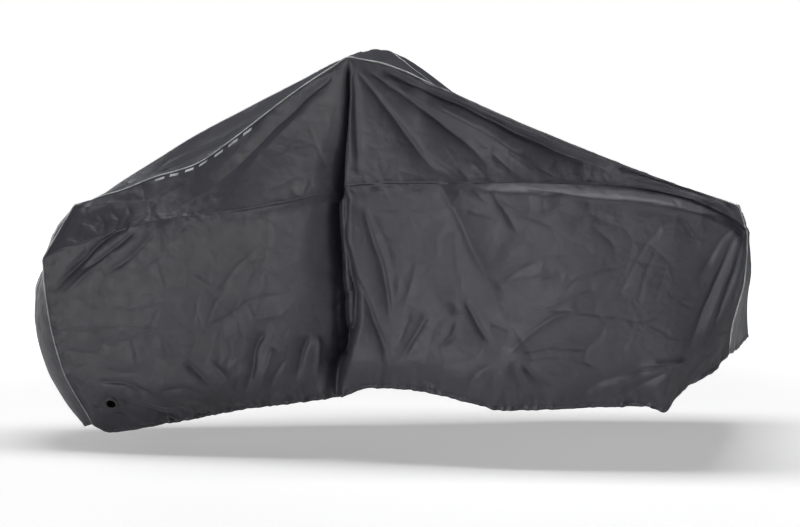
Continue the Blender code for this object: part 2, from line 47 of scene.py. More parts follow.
# Sheets
CELL = 0.0052  # about the side of one cell of a sheet
NEAR_CELL = 0.0044  # smaller on the side that the photo shows
FINE_STEPS = (0, 0.0015, 0.003, 0.0048, 0.0068, 0.009, 0.0115, 0.0145)  # rows close to an edge
SIDE_LENGTH, LOWER_HEIGHT, UPPER_HEIGHT, GUSSET_WIDTH = 2.1, 0.72, 0.32, 0.60  # rough
LOWER_KNOTS = (0, 0.25, 0.55, 0.88, 1)  # places of the rails from the hem up to the side seam

# The cloth's roll over the shoulder, down to the piping
ROLL_DROP = 0.4  # the piping lies this share of the roll's width below the cloth's edge
FULL_ROLL = 0.012  # a roll this wide is a full one
ROLL_END = 0.05  # the roll fades over this share of the half length, at both ends
LEAST_SHOULDER = 0.016  # least distance from the shoulder to the piping
SHOULDER_ROUND = 0.024  # the shoulder is rounded over this much of the cloth below it
CURL = (0.14, 0.28, 0.42, 0.55, 0.67, 0.78, 0.88, 0.95, 1)  # rows from the shoulder to the piping

# Folds
FOLD_FADE = 0.03  # folds fade out over this much next to the piping
FOLD_REACH, SECTION_FADE = 3.2, 1.2  # half widths: where a section ends, and fades before it
FOLD_START, FOLD_START_SHARE = 0.03, 1 / 4  # a fold grows over the lesser: this, or this share
FOLD_END_SHARE = 0.4  # and dies away over this share of its length
ANGULAR = 1.15  # folds pinched more than this keep the corners of their line
ROUND_POINTS = 3  # points that a rounded line gets for each of its own

# Small creases that packing leaves all over the cloth, scattered by a seeded draw
SMALL_CREASES = 260
SMALL_LENGTH = (0.035, 0.160)
SMALL_DEPTH = (0.0006, 0.0018)
SMALL_WIDTH = (0.0036, 0.0085)
SMALL_TURN = 0.4  # most that a small crease bends or leans, either way
SMALL_POWER = 0.9
SIDE_AREA = ((-0.93, -1.1), (1.08, -0.2))  # opposite corners of the rectangle that they lie in
GUSSET_AREA = ((-1.7, -0.36), (1.7, 0.36))

# Unevenness: size of the features and height
CRUMPLE = ((0.230, 0.0060), (0.095, 0.0015), (0.042, 0.0005))
WANDER = (0.080, 0.0035)  # the folds' lines wander by the second, over the first
NEAR_SEED, FAR_SEED, GUSSET_SEED = 1.3, 2.9, 5.7  # no two sheets are uneven in the same way

# Ripples beside an edge: size, reach, height and shift of the seed
PUCKERS = ((0.010, 0.016, 0.0026, 0), (0.026, 0.040, 0.0042, 5))
HEM_PLEATS = ((0.016, 0.024, 0.0185, 11), (0.036, 0.055, 0.0135, 17))
GUSSET_PLEATS = ((0.012, 0.030, 0.0030, 11), (0.030, 0.060, 0.0040, 17))
HEM_SQUEEZE, GUSSET_SQUEEZE = (1, 1, 0.15), (0.25, 1, 0.25)  # draw pleats out, away from the hem
HEM_WAVE = (0.004, 0.17, 0.10)  # height, length and reach of the hem's longest wave
HEM_WAVE_DRIFT = (1.8, 7)  # how far and how fast that wave drifts along the hem

# Ripples are stronger in some places: mean, swing, size of the places and shift of the seed
PUCKER_PATCHES = (0.65, 0.5, 0.160, 9)
PLEAT_PATCHES = (0.7, 0.9, 0.23, 23)
PLEAT_LIMITS = (0.25, 1.5)

# Hem and seams
HEM_SLACK = 0.50  # the share of a fold's depth that the elastic leaves at the hem
HEM_REACH = 0.14  # the height over which the depth grows back
HEM_LEVEL = 0.08  # below this height over the hem, folds push sideways more than up or down
HEM_ROLL = 0.0018  # radius of the turned edge
HEM_TURN = (180, 150, 120, 90, 60, 30)  # the turned edge's rows, in degrees round it
HEM_INSIDE = (0.004, 0.008, 0.012)  # heights of the turned-in cloth's rows above the edge
EDGE_HOLD = 0.004  # all relief ends over this much next to the piping
PUCKER_START = 0.0035  # puckers set in about this far from the stitching
SEAM_BAND = 0.010  # width of the doubled cloth above the side seam
SEAM_RISE, SEAM_GROOVE = 0.0008, 0.0018  # height of that cloth, and half width of its groove
BAND_RISE, BAND_FALL = 0.0015, 0.003  # widths of that cloth's edges, below and above
BAND_FALL_START = 0.002  # the edge above starts this far inside the band
HEM_STITCH, SEAM_STITCH, PIPING_STITCH = 0.012, 0.0075, 0.006  # distances of the stitching
SEAM_DENT = (0.0005, 0.0016)  # depth and half width of a stitch line's dent
HEM_DENT = (0.0020, 0.0022)
GUSSET_DENT = (0.0010, 0.0022)
STITCH_PITCH, STITCH_LENGTH, STITCH_RADIUS, STITCH_LIFT = 0.0045, 0.0033, 0.00045, 0.0002
STITCH_SHOULDER = 0.3  # a stitch is full thickness this share of its length from its middle
PROBE = 0.01  # how far a sheet is lifted to find a line's normals

# Trim
PIPING_RADIUS, PIPING_SIDES, PIPING_STEP, PIPING_SMOOTHINGS = 0.0021, 12, 0.004, 4
EDGE_IN_PIPING = 0.0012  # the cloth's edges end this far from the middle of the piping
EYELET_HOLE, EYELET_COLLAR, EYELET_FLANGE, CLOTH_HOLE = 0.0145, 0.0165, 0.0245, 0.0178  # radii
EYELET_STEPS, LIP_POINTS, DOME_POINTS = 72, 6, 12
HOLE_LOOK = 4  # only corners within this many radii of a hole are looked at
EYELET_FLAT, EYELET_EASE = 0.023, 0.032  # round an eyelet the cloth is flat, then eases out
DASH_START, DASH_COUNT, DASH_PITCH, DASH_LENGTH = -0.640, 7, 0.046, 0.030
DASH_ROWS = (0.010, 0.0125, 0.0155, 0.0185)  # their distances below the piping
DASH_LIFT = 0.0004

# Rails of each side, rear to front: the x of the column that hangs from the handlebar's end, and a
# row for each section, x, y, z. "top" also holds how far the piping lies inside the cloth's edge.
NEAR = {
    "hem": (-75, (
        (-845, -120, -1142), (-795, -120, -1168), (-700, -125, -1154), (-567, -140, -1127),
        (-418, -175, -1092), (-315, -210, -1070), (-65, -300, -1024), (33, -325, -990),
        (150, -350, -992), (315, -385, -1020), (432, -405, -1042), (615, -410, -1034),
        (850, -410, -1026), (900, -410, -1041), (942, -405, -995), (986, -400, -957),
        (1062, -385, -911), (1090, -370, -874),
    )),
    "skirt": (-70, (
        (-925, -190, -960), (-800, -225, -1000), (-550, -265, -985), (-300, -295, -945),
        (-60, -340, -900), (150, -375, -880), (430, -435, -915), (650, -450, -910),
        (900, -450, -905), (1020, -430, -850), (1098, -390, -790),
    )),
    "belly": (-60, (
        (-961, -190, -822), (-800, -225, -810), (-550, -270, -790), (-300, -300, -760),
        (-60, -345, -700), (150, -365, -680), (430, -410, -690), (650, -440, -690),
        (900, -445, -690), (1030, -430, -665), (1131, -405, -650),
    )),
    "rim": (-55, (
        (-981, -172, -690), (-800, -215, -615), (-550, -257, -550), (-300, -302, -505),
        (-60, -347, -435), (150, -367, -420), (300, -387, -415), (450, -415, -408),
        (700, -436, -417), (880, -441, -434), (1020, -436, -474), (1100, -430, -515),
        (1136, -410, -560),
    )),
    "seam": (-50, (
        (-986, -165, -625), (-930, -180, -595), (-810, -205, -556), (-645, -235, -503),
        (-320, -290, -455), (-120, -325, -410), (-45, -342, -384), (120, -360, -373),
        (300, -375, -371), (470, -385, -371), (695, -381, -373), (825, -381, -385),
        (960, -388, -412), (1055, -400, -450), (1110, -410, -480), (1136, -408, -510),
    )),
    "top": (-33, (
        (-898, -125, -459, 14), (-852, -120, -448, 10), (-811, -120, -434, 0),
        (-752, -125, -417, 0), (-642, -135, -374, 0), (-520, -150, -336, 0), (-409, -180, -264, 0),
        (-327, -205, -202, 0), (-184, -270, -97, 0), (-76, -310, -28, 0), (-33, -330, -3, 0),
        (2, -330, -10, 0), (58, -330, -20, 0), (129, -330, -44, 0), (200, -335, -74, 8),
        (280, -340, -106, 16), (472, -365, -187, 22), (706, -385, -281, 22), (939, -405, -371, 14),
        (1065, -415, -414, 6), (1110, -418, -431, 0),
    )),
}
FAR = {
    "hem": (30, (
        (-830, 120, -1135), (-760, 120, -1160), (-600, 135, -1135), (-400, 180, -1095),
        (-150, 260, -1040), (100, 330, -990), (220, 355, -985), (500, 405, -1030),
        (900, 415, -1035), (990, 410, -1000), (1100, 395, -940), (1200, 375, -898),
    )),
    "skirt": (30, (
        (-905, 190, -965), (-750, 235, -990), (-450, 280, -950), (-200, 315, -915), (50, 350, -880),
        (300, 395, -885), (550, 440, -910), (950, 450, -910), (1100, 430, -860), (1202, 395, -820),
    )),
    "belly": (30, (
        (-952, 185, -825), (-750, 232, -810), (-450, 285, -780), (-200, 318, -750), (50, 350, -700),
        (300, 380, -690), (550, 435, -700), (950, 445, -705), (1100, 430, -705), (1204, 402, -715),
    )),
    "rim": (30, (
        (-975, 168, -695), (-750, 220, -610), (-450, 275, -560), (-200, 312, -505), (30, 347, -450),
        (250, 372, -470), (450, 412, -515), (700, 432, -535), (1000, 437, -555), (1120, 428, -585),
        (1202, 404, -635),
    )),
    "seam": (35, (
        (-982, 160, -630), (-750, 212, -550), (-450, 268, -480), (-200, 305, -430), (30, 340, -390),
        (250, 367, -410), (450, 402, -455), (700, 425, -478), (1000, 430, -500), (1120, 426, -535),
        (1202, 402, -590),
    )),
    "top": (38, (
        (-898, 110, -480, 0), (-848, 100, -452, 0), (-789, 110, -411, 0), (-695, 120, -352, 0),
        (-554, 140, -264, 0), (-415, 170, -190, 0), (-230, 230, -94, 0), (-91, 290, -25, 0),
        (38, 330, 1, 0), (95, 345, -10, 45), (149, 355, -41, 65), (220, 365, -97, 65),
        (400, 385, -245, 35), (520, 400, -330, 20), (600, 410, -375, 20), (800, 420, -418, 20),
        (1000, 425, -456, 20), (1120, 425, -492, 12), (1180, 420, -512, 0),
    )),
}

# Folds of the near side, each drawn from its root to its end: depth where it is widest (above 0 it
# stands out), half width at the root and at the end, lean (above 0 the side to the right of the
# line is the wide one), power of the section (2 is rounded, 1 is pinched), and the line's points,
# x and z
NEAR_FOLDS = (
    # the deep valley under the end of the handlebar, steep on its front side
    (-110, 6, 54, 0.68, 1.2, (-30, -15), (-36, -115), (-44, -220), (-56, -320), (-58, -380),
     (-46, -430), (-50, -535), (-38, -635), (-22, -705), (-25, -785), (-45, -850), (-62, -910),
     (-75, -1000), (-90, -1300)),
    (-85, 5, 18, 0.1, 1.4, (-31, -30), (-38, -115), (-52, -220), (-68, -320), (-74, -400),
     (-76, -535), (-68, -650), (-60, -740), (-62, -850), (-85, -960), (-100, -1250)),
    (-50, 8, 75, 0.7, 1.6, (-38, -40), (-58, -240), (-75, -380), (-80, -560), (-85, -800),
     (-95, -1200)),
    (-12, 7.8, 11.7, 0, 1.14, (-15, -685), (-65, -730), (-105, -765)),
    (-12, 7.8, 10.4, 0, 1.14, (-20, -795), (-60, -835), (-90, -865)),
    (9, 6.5, 10.4, 0, 1.27, (-30, -30), (-30, -160), (-25, -350)),
    (-11, 6.5, 11.7, -0.2, 1.23, (-20, -35), (-15, -160), (-5, -385)),
    (10, 10.4, 15.6, 0.2, 1.27, (-55, -415), (-30, -460), (-45, -520), (-35, -600)),
    # folds from the end of the handlebar to the front box
    (-18, 3, 22, 0.5, 1.1, (-12, -40), (58, -125), (128, -215), (187, -295), (262, -370)),
    (-13, 3.4, 18.4, 0, 1.14, (15, -40), (140, -125), (225, -185), (330, -270), (415, -355)),
    (9, 9.2, 14.9, 0.2, 1.31, (115, -100), (280, -180), (415, -255), (515, -320), (595, -365)),
    (-32, 6.9, 32.2, 0.25, 1.18, (60, -32), (205, -105), (300, -145), (405, -195), (500, -240),
     (610, -290), (705, -325), (800, -375)),
    (-8, 6.5, 9.1, 0, 1.18, (740, -315), (855, -360), (950, -390), (1060, -420)),
    (-3.1, 5.2, 7.8, 0, 1.09, (380, -275), (430, -320), (475, -365)),
    (-3.1, 5.2, 7.8, 0, 1.09, (465, -290), (535, -330), (605, -370)),
    (-2.5, 5.2, 6.5, 0, 1.09, (290, -330), (340, -380)),
    (-2.5, 3.9, 6.5, 0, 1.09, (230, -325), (285, -370)),
    (3.1, 5.2, 7.8, 0, 1.14, (325, -305), (380, -360)),
    # folds from the end of the handlebar back to the rear wheel
    (-30, 6.9, 39.1, 0.2, 1.18, (-75, -55), (-215, -170), (-310, -260), (-385, -330), (-470, -395),
     (-560, -455), (-645, -520)),
    (7, 9.2, 16.1, 0, 1.31, (-185, -170), (-285, -275), (-380, -375)),
    (-1.9, 3, 4, 0, 1, (-160, -200), (-115, -310), (-90, -365)),
    (-3.7, 5.2, 6.5, 0, 1.09, (-390, -395), (-445, -465)),
    (-2.5, 5.2, 5.2, 0, 1.09, (-410, -400), (-455, -455)),
    (-7, 6.5, 11.7, 0.2, 1.18, (-540, -380), (-630, -445), (-700, -535)),
    (-4.3, 7.8, 10.4, 0, 1.18, (-500, -435), (-580, -485), (-665, -555)),
    (3.1, 6.5, 10.4, 0, 1.23, (-590, -410), (-670, -485), (-730, -550)),
    # the rear top corner, where the cloth bunches over the luggage rack
    (9, 9.1, 10.4, 0, 1.23, (-885, -475), (-815, -465), (-735, -450)),
    (-4.3, 6.5, 7.8, 0, 1.14, (-875, -510), (-820, -520), (-780, -510)),
    (-3.1, 5.2, 5.2, 0, 1.09, (-820, -480), (-790, -515), (-795, -560)),
    (-3.7, 5.2, 6.5, 0, 1.09, (-775, -475), (-745, -500), (-765, -550)),
    (-3.7, 5.2, 7.8, 0, 1.14, (-725, -450), (-710, -485), (-755, -555)),
    (-3.1, 5.2, 5.2, 0, 1.09, (-915, -555), (-870, -565), (-840, -555)),
    (-3.7, 5.2, 6.5, 0, 1.09, (-855, -560), (-845, -595), (-900, -645)),
    (-18, 6.5, 13, -0.2, 1.18, (-700, -515), (-795, -565), (-865, -630), (-925, -690),
     (-965, -735)),
    (-11, 6.5, 10.4, -0.1, 1.18, (-685, -530), (-795, -615), (-880, -665)),
    (-9, 6.5, 15.6, 0, 1.27, (-620, -530), (-705, -610), (-815, -685)),
    (7, 6.5, 11.7, 0, 1.23, (-745, -580), (-840, -660), (-925, -735)),
    (-3.1, 5.2, 10.4, 0, 1.23, (-520, -500), (-600, -585), (-695, -665)),
    # creases of the lower panel behind the handlebar
    (2.2, 4, 4, 0, 1, (-515, -655), (-475, -685), (-430, -705)),
    (-2.5, 4, 5, 0.3, 1.1, (-430, -705), (-375, -630), (-310, -575), (-280, -535)),
    (-1.9, 4, 4, 0, 1, (-330, -630), (-265, -655), (-190, -670)),
    (1.9, 4, 4, 0, 1, (-390, -605), (-330, -615), (-275, -590)),
    (-1.9, 4, 5, 0, 1, (-840, -760), (-705, -775), (-610, -755), (-500, -740)),
    (-1.9, 3, 4, 0, 1, (-610, -755), (-625, -785), (-645, -825)),
    (-2.2, 4, 5, 0, 1.1, (-705, -845), (-690, -900), (-685, -940)),
    (-2.8, 4, 6, 0.2, 1.1, (-600, -860), (-590, -910), (-560, -930), (-515, -940)),
    (-4.3, 6.5, 10.4, 0.35, 1.14, (-480, -820), (-405, -785), (-345, -740), (-275, -720),
     (-190, -710)),
    (3.7, 6.5, 7.8, 0, 1.14, (-345, -745), (-325, -785), (-245, -775), (-190, -730)),
    (-2.2, 4, 4, 0, 1, (-940, -845), (-740, -825), (-615, -830), (-475, -825)),
    (-1.9, 4, 4, 0, 1, (-920, -900), (-800, -910), (-735, -935)),
    (-1.9, 3, 4, 0, 1, (-480, -825), (-500, -770), (-490, -705)),
    (-1.9, 3, 4, 0, 1, (-475, -820), (-440, -740), (-395, -690)),
    (2.5, 7.8, 10.4, 0, 1.23, (-645, -880), (-560, -895), (-475, -935)),
    (-2.5, 4, 5, 0, 1.1, (-815, -860), (-765, -875), (-705, -865)),
    (-2.5, 5.2, 6.5, 0, 1.09, (-790, -950), (-735, -965), (-660, -960)),
    # gathers above the hem behind the handlebar
    (-17, 10.4, 15.6, 0.3, 1.23, (-285, -820), (-320, -880), (-330, -945), (-365, -1050)),
    (-19, 10.4, 15.6, 0.3, 1.23, (-160, -830), (-185, -900), (-200, -1000)),
    (9, 10.4, 10.4, 0, 1.23, (-135, -835), (-135, -910), (-140, -985)),
    (-9, 9.1, 11.7, 0, 1.18, (-230, -905), (-260, -960), (-285, -1030)),
    (7, 10.4, 11.7, 0, 1.27, (-265, -865), (-285, -930), (-320, -1020)),
    (-12, 10.4, 15.6, 0, 1.23, (-540, -920), (-480, -975), (-440, -1030)),
    (8, 10.4, 13, 0, 1.27, (-470, -910), (-415, -965), (-390, -1030)),
    (-9, 9.1, 11.7, 0, 1.23, (-625, -1020), (-550, -1010), (-445, -1055)),
    (-4.3, 6.5, 9.1, 0, 1.18, (-370, -965), (-385, -1020), (-415, -1060)),
    (-3.7, 6.5, 7.8, 0, 1.14, (-95, -950), (-55, -970), (-30, -995)),
    # the rear lower corner, round the eyelet
    (-34, 7.5, 12, 0.3, 1.12, (-760, -1050), (-670, -1085), (-540, -1140)),
    (-24, 6, 9, 0.2, 1.1, (-840, -1080), (-755, -1100), (-690, -1150)),
    (-7, 4.5, 5.5, 0, 1.1, (-840, -1115), (-785, -1150), (-715, -1160)),
    (-9, 6.5, 9.1, 0.2, 1.14, (-815, -990), (-730, -995), (-660, -1020), (-615, -1050)),
    (12, 7.5, 10, 0.3, 1.14, (-730, -1025), (-645, -1050), (-560, -1085)),
    (-2.5, 4, 4, 0, 1.1, (-835, -1050), (-815, -1040), (-795, -1025)),
    # slack between the handlebar and the front box
    (-15, 6.5, 10.4, 0.3, 1.09, (-45, -545), (-30, -620), (30, -750), (75, -870), (85, -975)),
    (-14, 8, 13, 0.5, 1.2, (10, -445), (40, -545), (72, -640), (85, -730), (100, -830)),
    (3, 9.1, 13, 0, 1.27, (35, -465), (85, -580), (100, -670)),
    (-2.5, 3, 3, 0, 1, (85, -825), (85, -970)),
    (-1.3, 3.5, 4, 0, 1, (-30, -445), (35, -450), (105, -455), (230, -450), (360, -445)),
    (-3.7, 6.5, 7.8, 0, 1.14, (170, -595), (155, -665), (130, -740), (115, -780)),
    (-3.1, 5.2, 6.5, 0, 1.09, (115, -640), (115, -690), (90, -740)),
    (-9, 7.8, 10.4, 0.2, 1.18, (210, -755), (165, -825), (135, -875), (100, -920)),
    (4.3, 7.8, 10.4, 0, 1.23, (155, -755), (125, -820), (105, -875)),
    (-3.1, 5.2, 6.5, 0, 1.09, (105, -960), (205, -960), (240, -980)),
    (-3.7, 6.5, 7.8, 0, 1.14, (395, -900), (360, -920), (330, -955), (325, -990)),
    (-3.7, 5.2, 6.5, 0, 1.09, (400, -915), (390, -985)),
    (-10, 6.5, 9.1, 0.2, 1.14, (310, -715), (355, -795), (395, -855)),
    (-9, 6.5, 7.8, -0.3, 1.14, (285, -775), (275, -825), (240, -860)),
    (-1.9, 3, 3, 0, 1, (280, -470), (285, -570), (295, -705)),
    (-1.9, 3, 3, 0, 1, (300, -630), (305, -705)),
    (-2.5, 5.2, 6.5, 0, 1.09, (240, -835), (255, -900), (245, -970)),
    # the ridge from the slack up to the rear corner of the box, and creases under the side seam
    (21, 28, 50, -0.62, 1.1, (225, -350), (242, -385), (282, -455), (325, -540), (370, -630),
     (415, -740)),
    (-3.7, 6.5, 7.8, 0, 1.09, (300, -390), (280, -430), (270, -460)),
    (-4.3, 5.2, 6.5, 0, 1.09, (330, -380), (360, -410), (390, -435)),
    (-8, 6.5, 7.8, 0.2, 1.09, (390, -390), (430, -450), (455, -495), (480, -530)),
    (-2.8, 4, 4, 0, 1, (405, -420), (475, -460), (560, -490), (610, -525), (655, -550)),
    (-2.5, 4, 4, 0, 1, (485, -455), (530, -460), (575, -445), (640, -420)),
    (-2.5, 4, 4, 0, 1, (310, -450), (360, -460), (420, -480)),
    (1.9, 4, 4, 0, 1, (430, -420), (465, -445), (520, -440)),
    # creases of the side of the box
    (-2.2, 4, 4, 0, 1, (355, -625), (430, -600), (520, -585), (620, -575), (670, -550)),
    (-2.8, 4, 5, 0, 1.1, (420, -670), (460, -635), (510, -605), (565, -585)),
    (-2.2, 4, 4, 0, 1, (385, -680), (475, -655), (555, -640), (605, -635), (620, -595),
     (645, -580)),
    (-2.2, 4, 4, 0, 1, (605, -680), (645, -650), (695, -625), (780, -605), (830, -580)),
    (3.1, 5, 6, 0, 1.1, (535, -740), (590, -710), (685, -685), (725, -650), (745, -625)),
    (-1.9, 3, 4, 0, 1, (695, -490), (735, -530), (775, -580)),
    (-2.2, 4, 4, 0.2, 1, (890, -485), (840, -545), (800, -625), (770, -680), (760, -750)),
    (-2.2, 4, 4, -0.2, 1, (875, -550), (840, -625), (825, -690), (810, -755)),
    (-2.8, 3.5, 4, 0, 1, (495, -730), (605, -740), (710, -750), (760, -755), (825, -770),
     (875, -755), (925, -715), (975, -680), (1045, -635), (1115, -540)),
    (-1.5, 3, 3, 0, 1, (860, -545), (935, -625)),
    (-2.2, 4, 5, 0, 1.1, (840, -775), (890, -795), (940, -830)),
    (-2.2, 4, 4, 0, 1, (360, -630), (410, -665), (435, -715)),
    (1.9, 4, 4, 0, 1, (580, -600), (610, -625), (590, -680)),
    (-1.9, 3, 4, 0, 1, (375, -715), (415, -725), (440, -745)),
    (-1.9, 3, 4, 0, 1, (715, -585), (740, -615), (785, -635)),
    (-1.9, 3, 4, 0, 1, (660, -545), (685, -575), (730, -565)),
    # the side of the box where the wheel guards push it out, and the tuck below them
    (8, 9.1, 13, 0, 1.23, (440, -875), (500, -815), (580, -760), (675, -730)),
    (3.1, 6.5, 7.8, 0, 1.14, (445, -885), (510, -890), (580, -885), (665, -885)),
    (-3.1, 5, 5, 0, 1.1, (475, -865), (565, -845), (670, -855), (710, -805), (730, -770)),
    (-3.1, 4, 5, 0, 1.1, (670, -855), (665, -890), (700, -905)),
    (-14, 8, 17.2, 0.2, 1.23, (450, -890), (470, -940), (500, -990)),
    (-11, 6.5, 13, 0.2, 1.18, (480, -890), (520, -940), (575, -985)),
    (8, 7.8, 13, 0, 1.23, (460, -890), (495, -950), (540, -1000)),
    (-12, 9.2, 23, 0.35, 1.31, (930, -900), (825, -915), (720, -950), (630, -1010)),
    (-8, 7.8, 13, 0, 1.18, (915, -915), (840, -955), (765, -1000)),
    (5, 7.8, 11.7, 0, 1.23, (925, -910), (875, -960), (835, -1010)),
    (-9, 6.5, 10.4, 0, 1.18, (930, -915), (910, -960), (900, -1010)),
    (10, 9.1, 10.4, 0, 1.23, (965, -890), (890, -895), (815, -905)),
    (-2.5, 4, 5, 0, 1.1, (725, -780), (710, -820), (680, -855)),
    (-2.5, 4, 5, 0, 1.1, (550, -915), (600, -930), (650, -925)),
    # the front corner of the box
    (-13, 5.7, 16.1, 0.3, 1.23, (1115, -475), (1060, -535), (1020, -605), (980, -660)),
    (4.3, 5.2, 9.1, 0, 1.23, (1115, -490), (1060, -600), (1005, -695)),
    (-20, 5.2, 15.6, 0.2, 1.18, (1125, -480), (1085, -555), (1050, -650), (1005, -755),
     (960, -875)),
    (8, 5.2, 9.1, 0, 1.18, (1125, -495), (1080, -635), (1035, -755), (995, -845)),
    (-15, 5.2, 10.4, 0.2, 1.18, (1130, -490), (1115, -565), (1090, -655), (1055, -755),
     (1015, -850)),
    (3.7, 3.9, 6.5, 0, 1.18, (1135, -515), (1110, -640), (1080, -760)),
    (-8, 3.9, 6.5, 0, 1.14, (1135, -510), (1130, -580), (1110, -670), (1085, -775)),
    (-4.3, 4, 5, 0, 1.1, (1015, -855), (1030, -875), (1050, -860), (1050, -830), (1030, -830)),
    (-9, 6.5, 7.8, 0, 1.14, (1050, -845), (1010, -895), (970, -950)),
    (-3.7, 5.2, 6.5, 0, 1.09, (1070, -865), (1040, -905), (1005, -935)),
    (-3.7, 5.2, 6.5, 0, 1.09, (990, -860), (975, -900), (950, -945)),
    # the rolled edge of the box under the side seam
    (-3.1, 4, 6, 0, 1.1, (785, -352), (865, -374), (965, -396), (1060, -422)),
    (10, 3, 20, -0.55, 1.1, (430, -379), (600, -400), (690, -412), (835, -432), (985, -453),
     (1100, -474), (1180, -490)),
)

# Folds of the far side, in the same columns
FAR_FOLDS = (
    (-34, 8, 29.9, -0.4, 1.27, (40, -30), (35, -240), (30, -420)),
    (-50, 29.9, 39.1, -0.4, 1.36, (30, -360), (20, -700), (30, -1010)),
    (-12, 7.8, 10.4, 0, 1.14, (-20, -700), (40, -740), (85, -800)),
    (10, 6.5, 13, 0, 1.27, (-10, -40), (-40, -420)),
    (-10, 6.5, 13, 0, 1.23, (-15, -40), (-110, -380)),
    (-17, 9.2, 23, 0, 1.31, (-20, -60), (-240, -230), (-500, -450)),
    (8, 9.2, 16.1, 0, 1.31, (-60, -130), (-300, -340)),
    (-14, 8, 18.4, 0, 1.31, (80, -90), (240, -270), (420, -430)),
    (9, 9.2, 14.9, 0, 1.31, (90, -170), (250, -390)),
    (-9, 5.2, 13, 0, 1.14, (60, -80), (150, -360)),
    (-16, 10.4, 15.6, 0.3, 1.23, (150, -470), (200, -760), (180, -1000)),
    (-17, 10.4, 15.6, 0.3, 1.23, (-240, -780), (-290, -930), (-290, -1060)),
    (-12, 10.4, 13, 0, 1.23, (-400, -860), (-420, -1060)),
    (8, 10.4, 11.7, 0, 1.27, (-340, -820), (-360, -1050)),
    (-12, 10.4, 15.6, 0, 1.23, (-560, -900), (-640, -1100)),
    (-18, 6.5, 13, 0, 1.18, (-760, -550), (-880, -640), (-960, -760)),
    (-11, 6.5, 11.7, 0, 1.18, (-700, -550), (-840, -680)),
    (8, 7.8, 9.1, 0, 1.23, (-890, -500), (-760, -470)),
    (-7, 6.5, 7.8, 0, 1.14, (-880, -540), (-800, -560), (-730, -530)),
    (-18, 5.7, 16.1, 0, 1.18, (1170, -540), (1110, -700), (1030, -880)),
    (8, 5.2, 10.4, 0, 1.23, (1150, -560), (1060, -780)),
    (-13, 6.5, 15.6, 0, 1.23, (1130, -540), (1020, -680)),
    (14, 13, 15.6, 0, 1.27, (440, -900), (520, -800), (620, -740)),
    (-14, 9.2, 17.2, 0, 1.23, (450, -920), (500, -1010)),
    (-18, 9.2, 23, 0.3, 1.31, (960, -930), (800, -960), (620, -1020)),
    (-10, 6.5, 9.1, 0.2, 1.14, (330, -700), (380, -790), (420, -860)),
    (12, 7.8, 11.7, 0, 1.14, (240, -430), (320, -560), (390, -680)),
    (-4.5, 4, 4, 0, 1, (500, -740), (700, -790), (860, -780), (980, -700), (1080, -600)),
    (-3.5, 3.5, 4, 0, 1, (20, -450), (200, -455), (400, -470)),
    (-7, 6.5, 10.4, 0.3, 1.14, (-480, -800), (-360, -740), (-210, -720)),
    (-11, 6.5, 10.4, 0, 1.14, (-740, -1050), (-660, -1090), (-560, -1120)),
)

# Folds of the gusset: points are measured along it from the handlebar to the front, and across
GUSSET_FOLDS = (
    (7, 16.1, 16.1, 0, 1.45, (0, -330), (4, 0), (0, 330)),
    (-8, 18.4, 23, 0, 1.36, (60, -250), (52, 0), (60, 260)),
    (-8, 18.4, 23, 0, 1.36, (-55, -240), (-50, 0), (-55, 230)),
    (-12, 6.9, 27.6, 0.3, 1.27, (20, -300), (250, -210), (600, -150), (950, -160)),
    (-12, 6.9, 27.6, -0.3, 1.27, (20, 300), (250, 190), (560, 120), (900, 150)),
    (8, 11.5, 27.6, 0, 1.36, (50, -200), (400, -80), (800, -40)),
    (-9, 11.5, 29.9, 0, 1.36, (70, 40), (450, 30), (900, 40)),
    (7, 11.5, 23, 0, 1.36, (80, 160), (420, 100), (760, 80)),
    (-14, 6.9, 20.7, -0.3, 1.27, (-30, -290), (-220, -150), (-480, -70), (-820, -50)),
    (-14, 6.9, 20.7, 0.3, 1.27, (-30, 280), (-220, 150), (-480, 70), (-820, 50)),
    (9, 11.5, 20.7, 0, 1.36, (-50, -80), (-400, -10), (-850, 0)),
    (-8, 10.4, 15.6, 0, 1.23, (-60, 110), (-260, 50), (-420, 30)),
    (-7, 7.8, 10.4, 0, 1.14, (-700, -80), (-760, 0), (-720, 80)),
    (-6, 7.8, 10.4, 0, 1.14, (-880, -90), (-850, -10), (-890, 90)),
    (-14, 9.2, 16.1, 0.2, 1.23, (-1150, -120), (-1350, -80), (-1620, -60)),
    (-14, 9.2, 16.1, -0.2, 1.23, (-1150, 110), (-1380, 70), (-1620, 50)),
    (10, 13.8, 20.7, 0, 1.31, (-1120, -20), (-1350, 10), (-1600, 0)),
    (-6, 7.8, 9.1, 0, 1.14, (-1220, -130), (-1260, -30), (-1230, 100)),
    (-14, 6.9, 18.4, 0, 1.23, (1270, -380), (1420, -260), (1600, -200)),
    (-14, 6.9, 18.4, 0, 1.23, (1270, 370), (1430, 250), (1600, 210)),
    (8, 9.2, 18.4, 0, 1.31, (1280, -280), (1420, -150), (1580, -100)),
    (-9, 11.5, 18.4, 0, 1.31, (1280, 20), (1420, 0), (1580, 30)),
    (8, 9.2, 18.4, 0, 1.31, (1280, 220), (1440, 120), (1580, 130)),
    (-4.5, 4, 4, 0, 1, (1330, -380), (1350, -100), (1340, 150), (1350, 390)),
    (-3.5, 4, 4, 0, 1, (640, -360), (650, 0), (630, 370)),
    (-10, 10.4, 15.6, 0, 1.27, (1100, -380), (1130, -200), (1120, 0)),
    (-10, 10.4, 15.6, 0, 1.27, (1100, 380), (1120, 220), (1110, 60)),
)

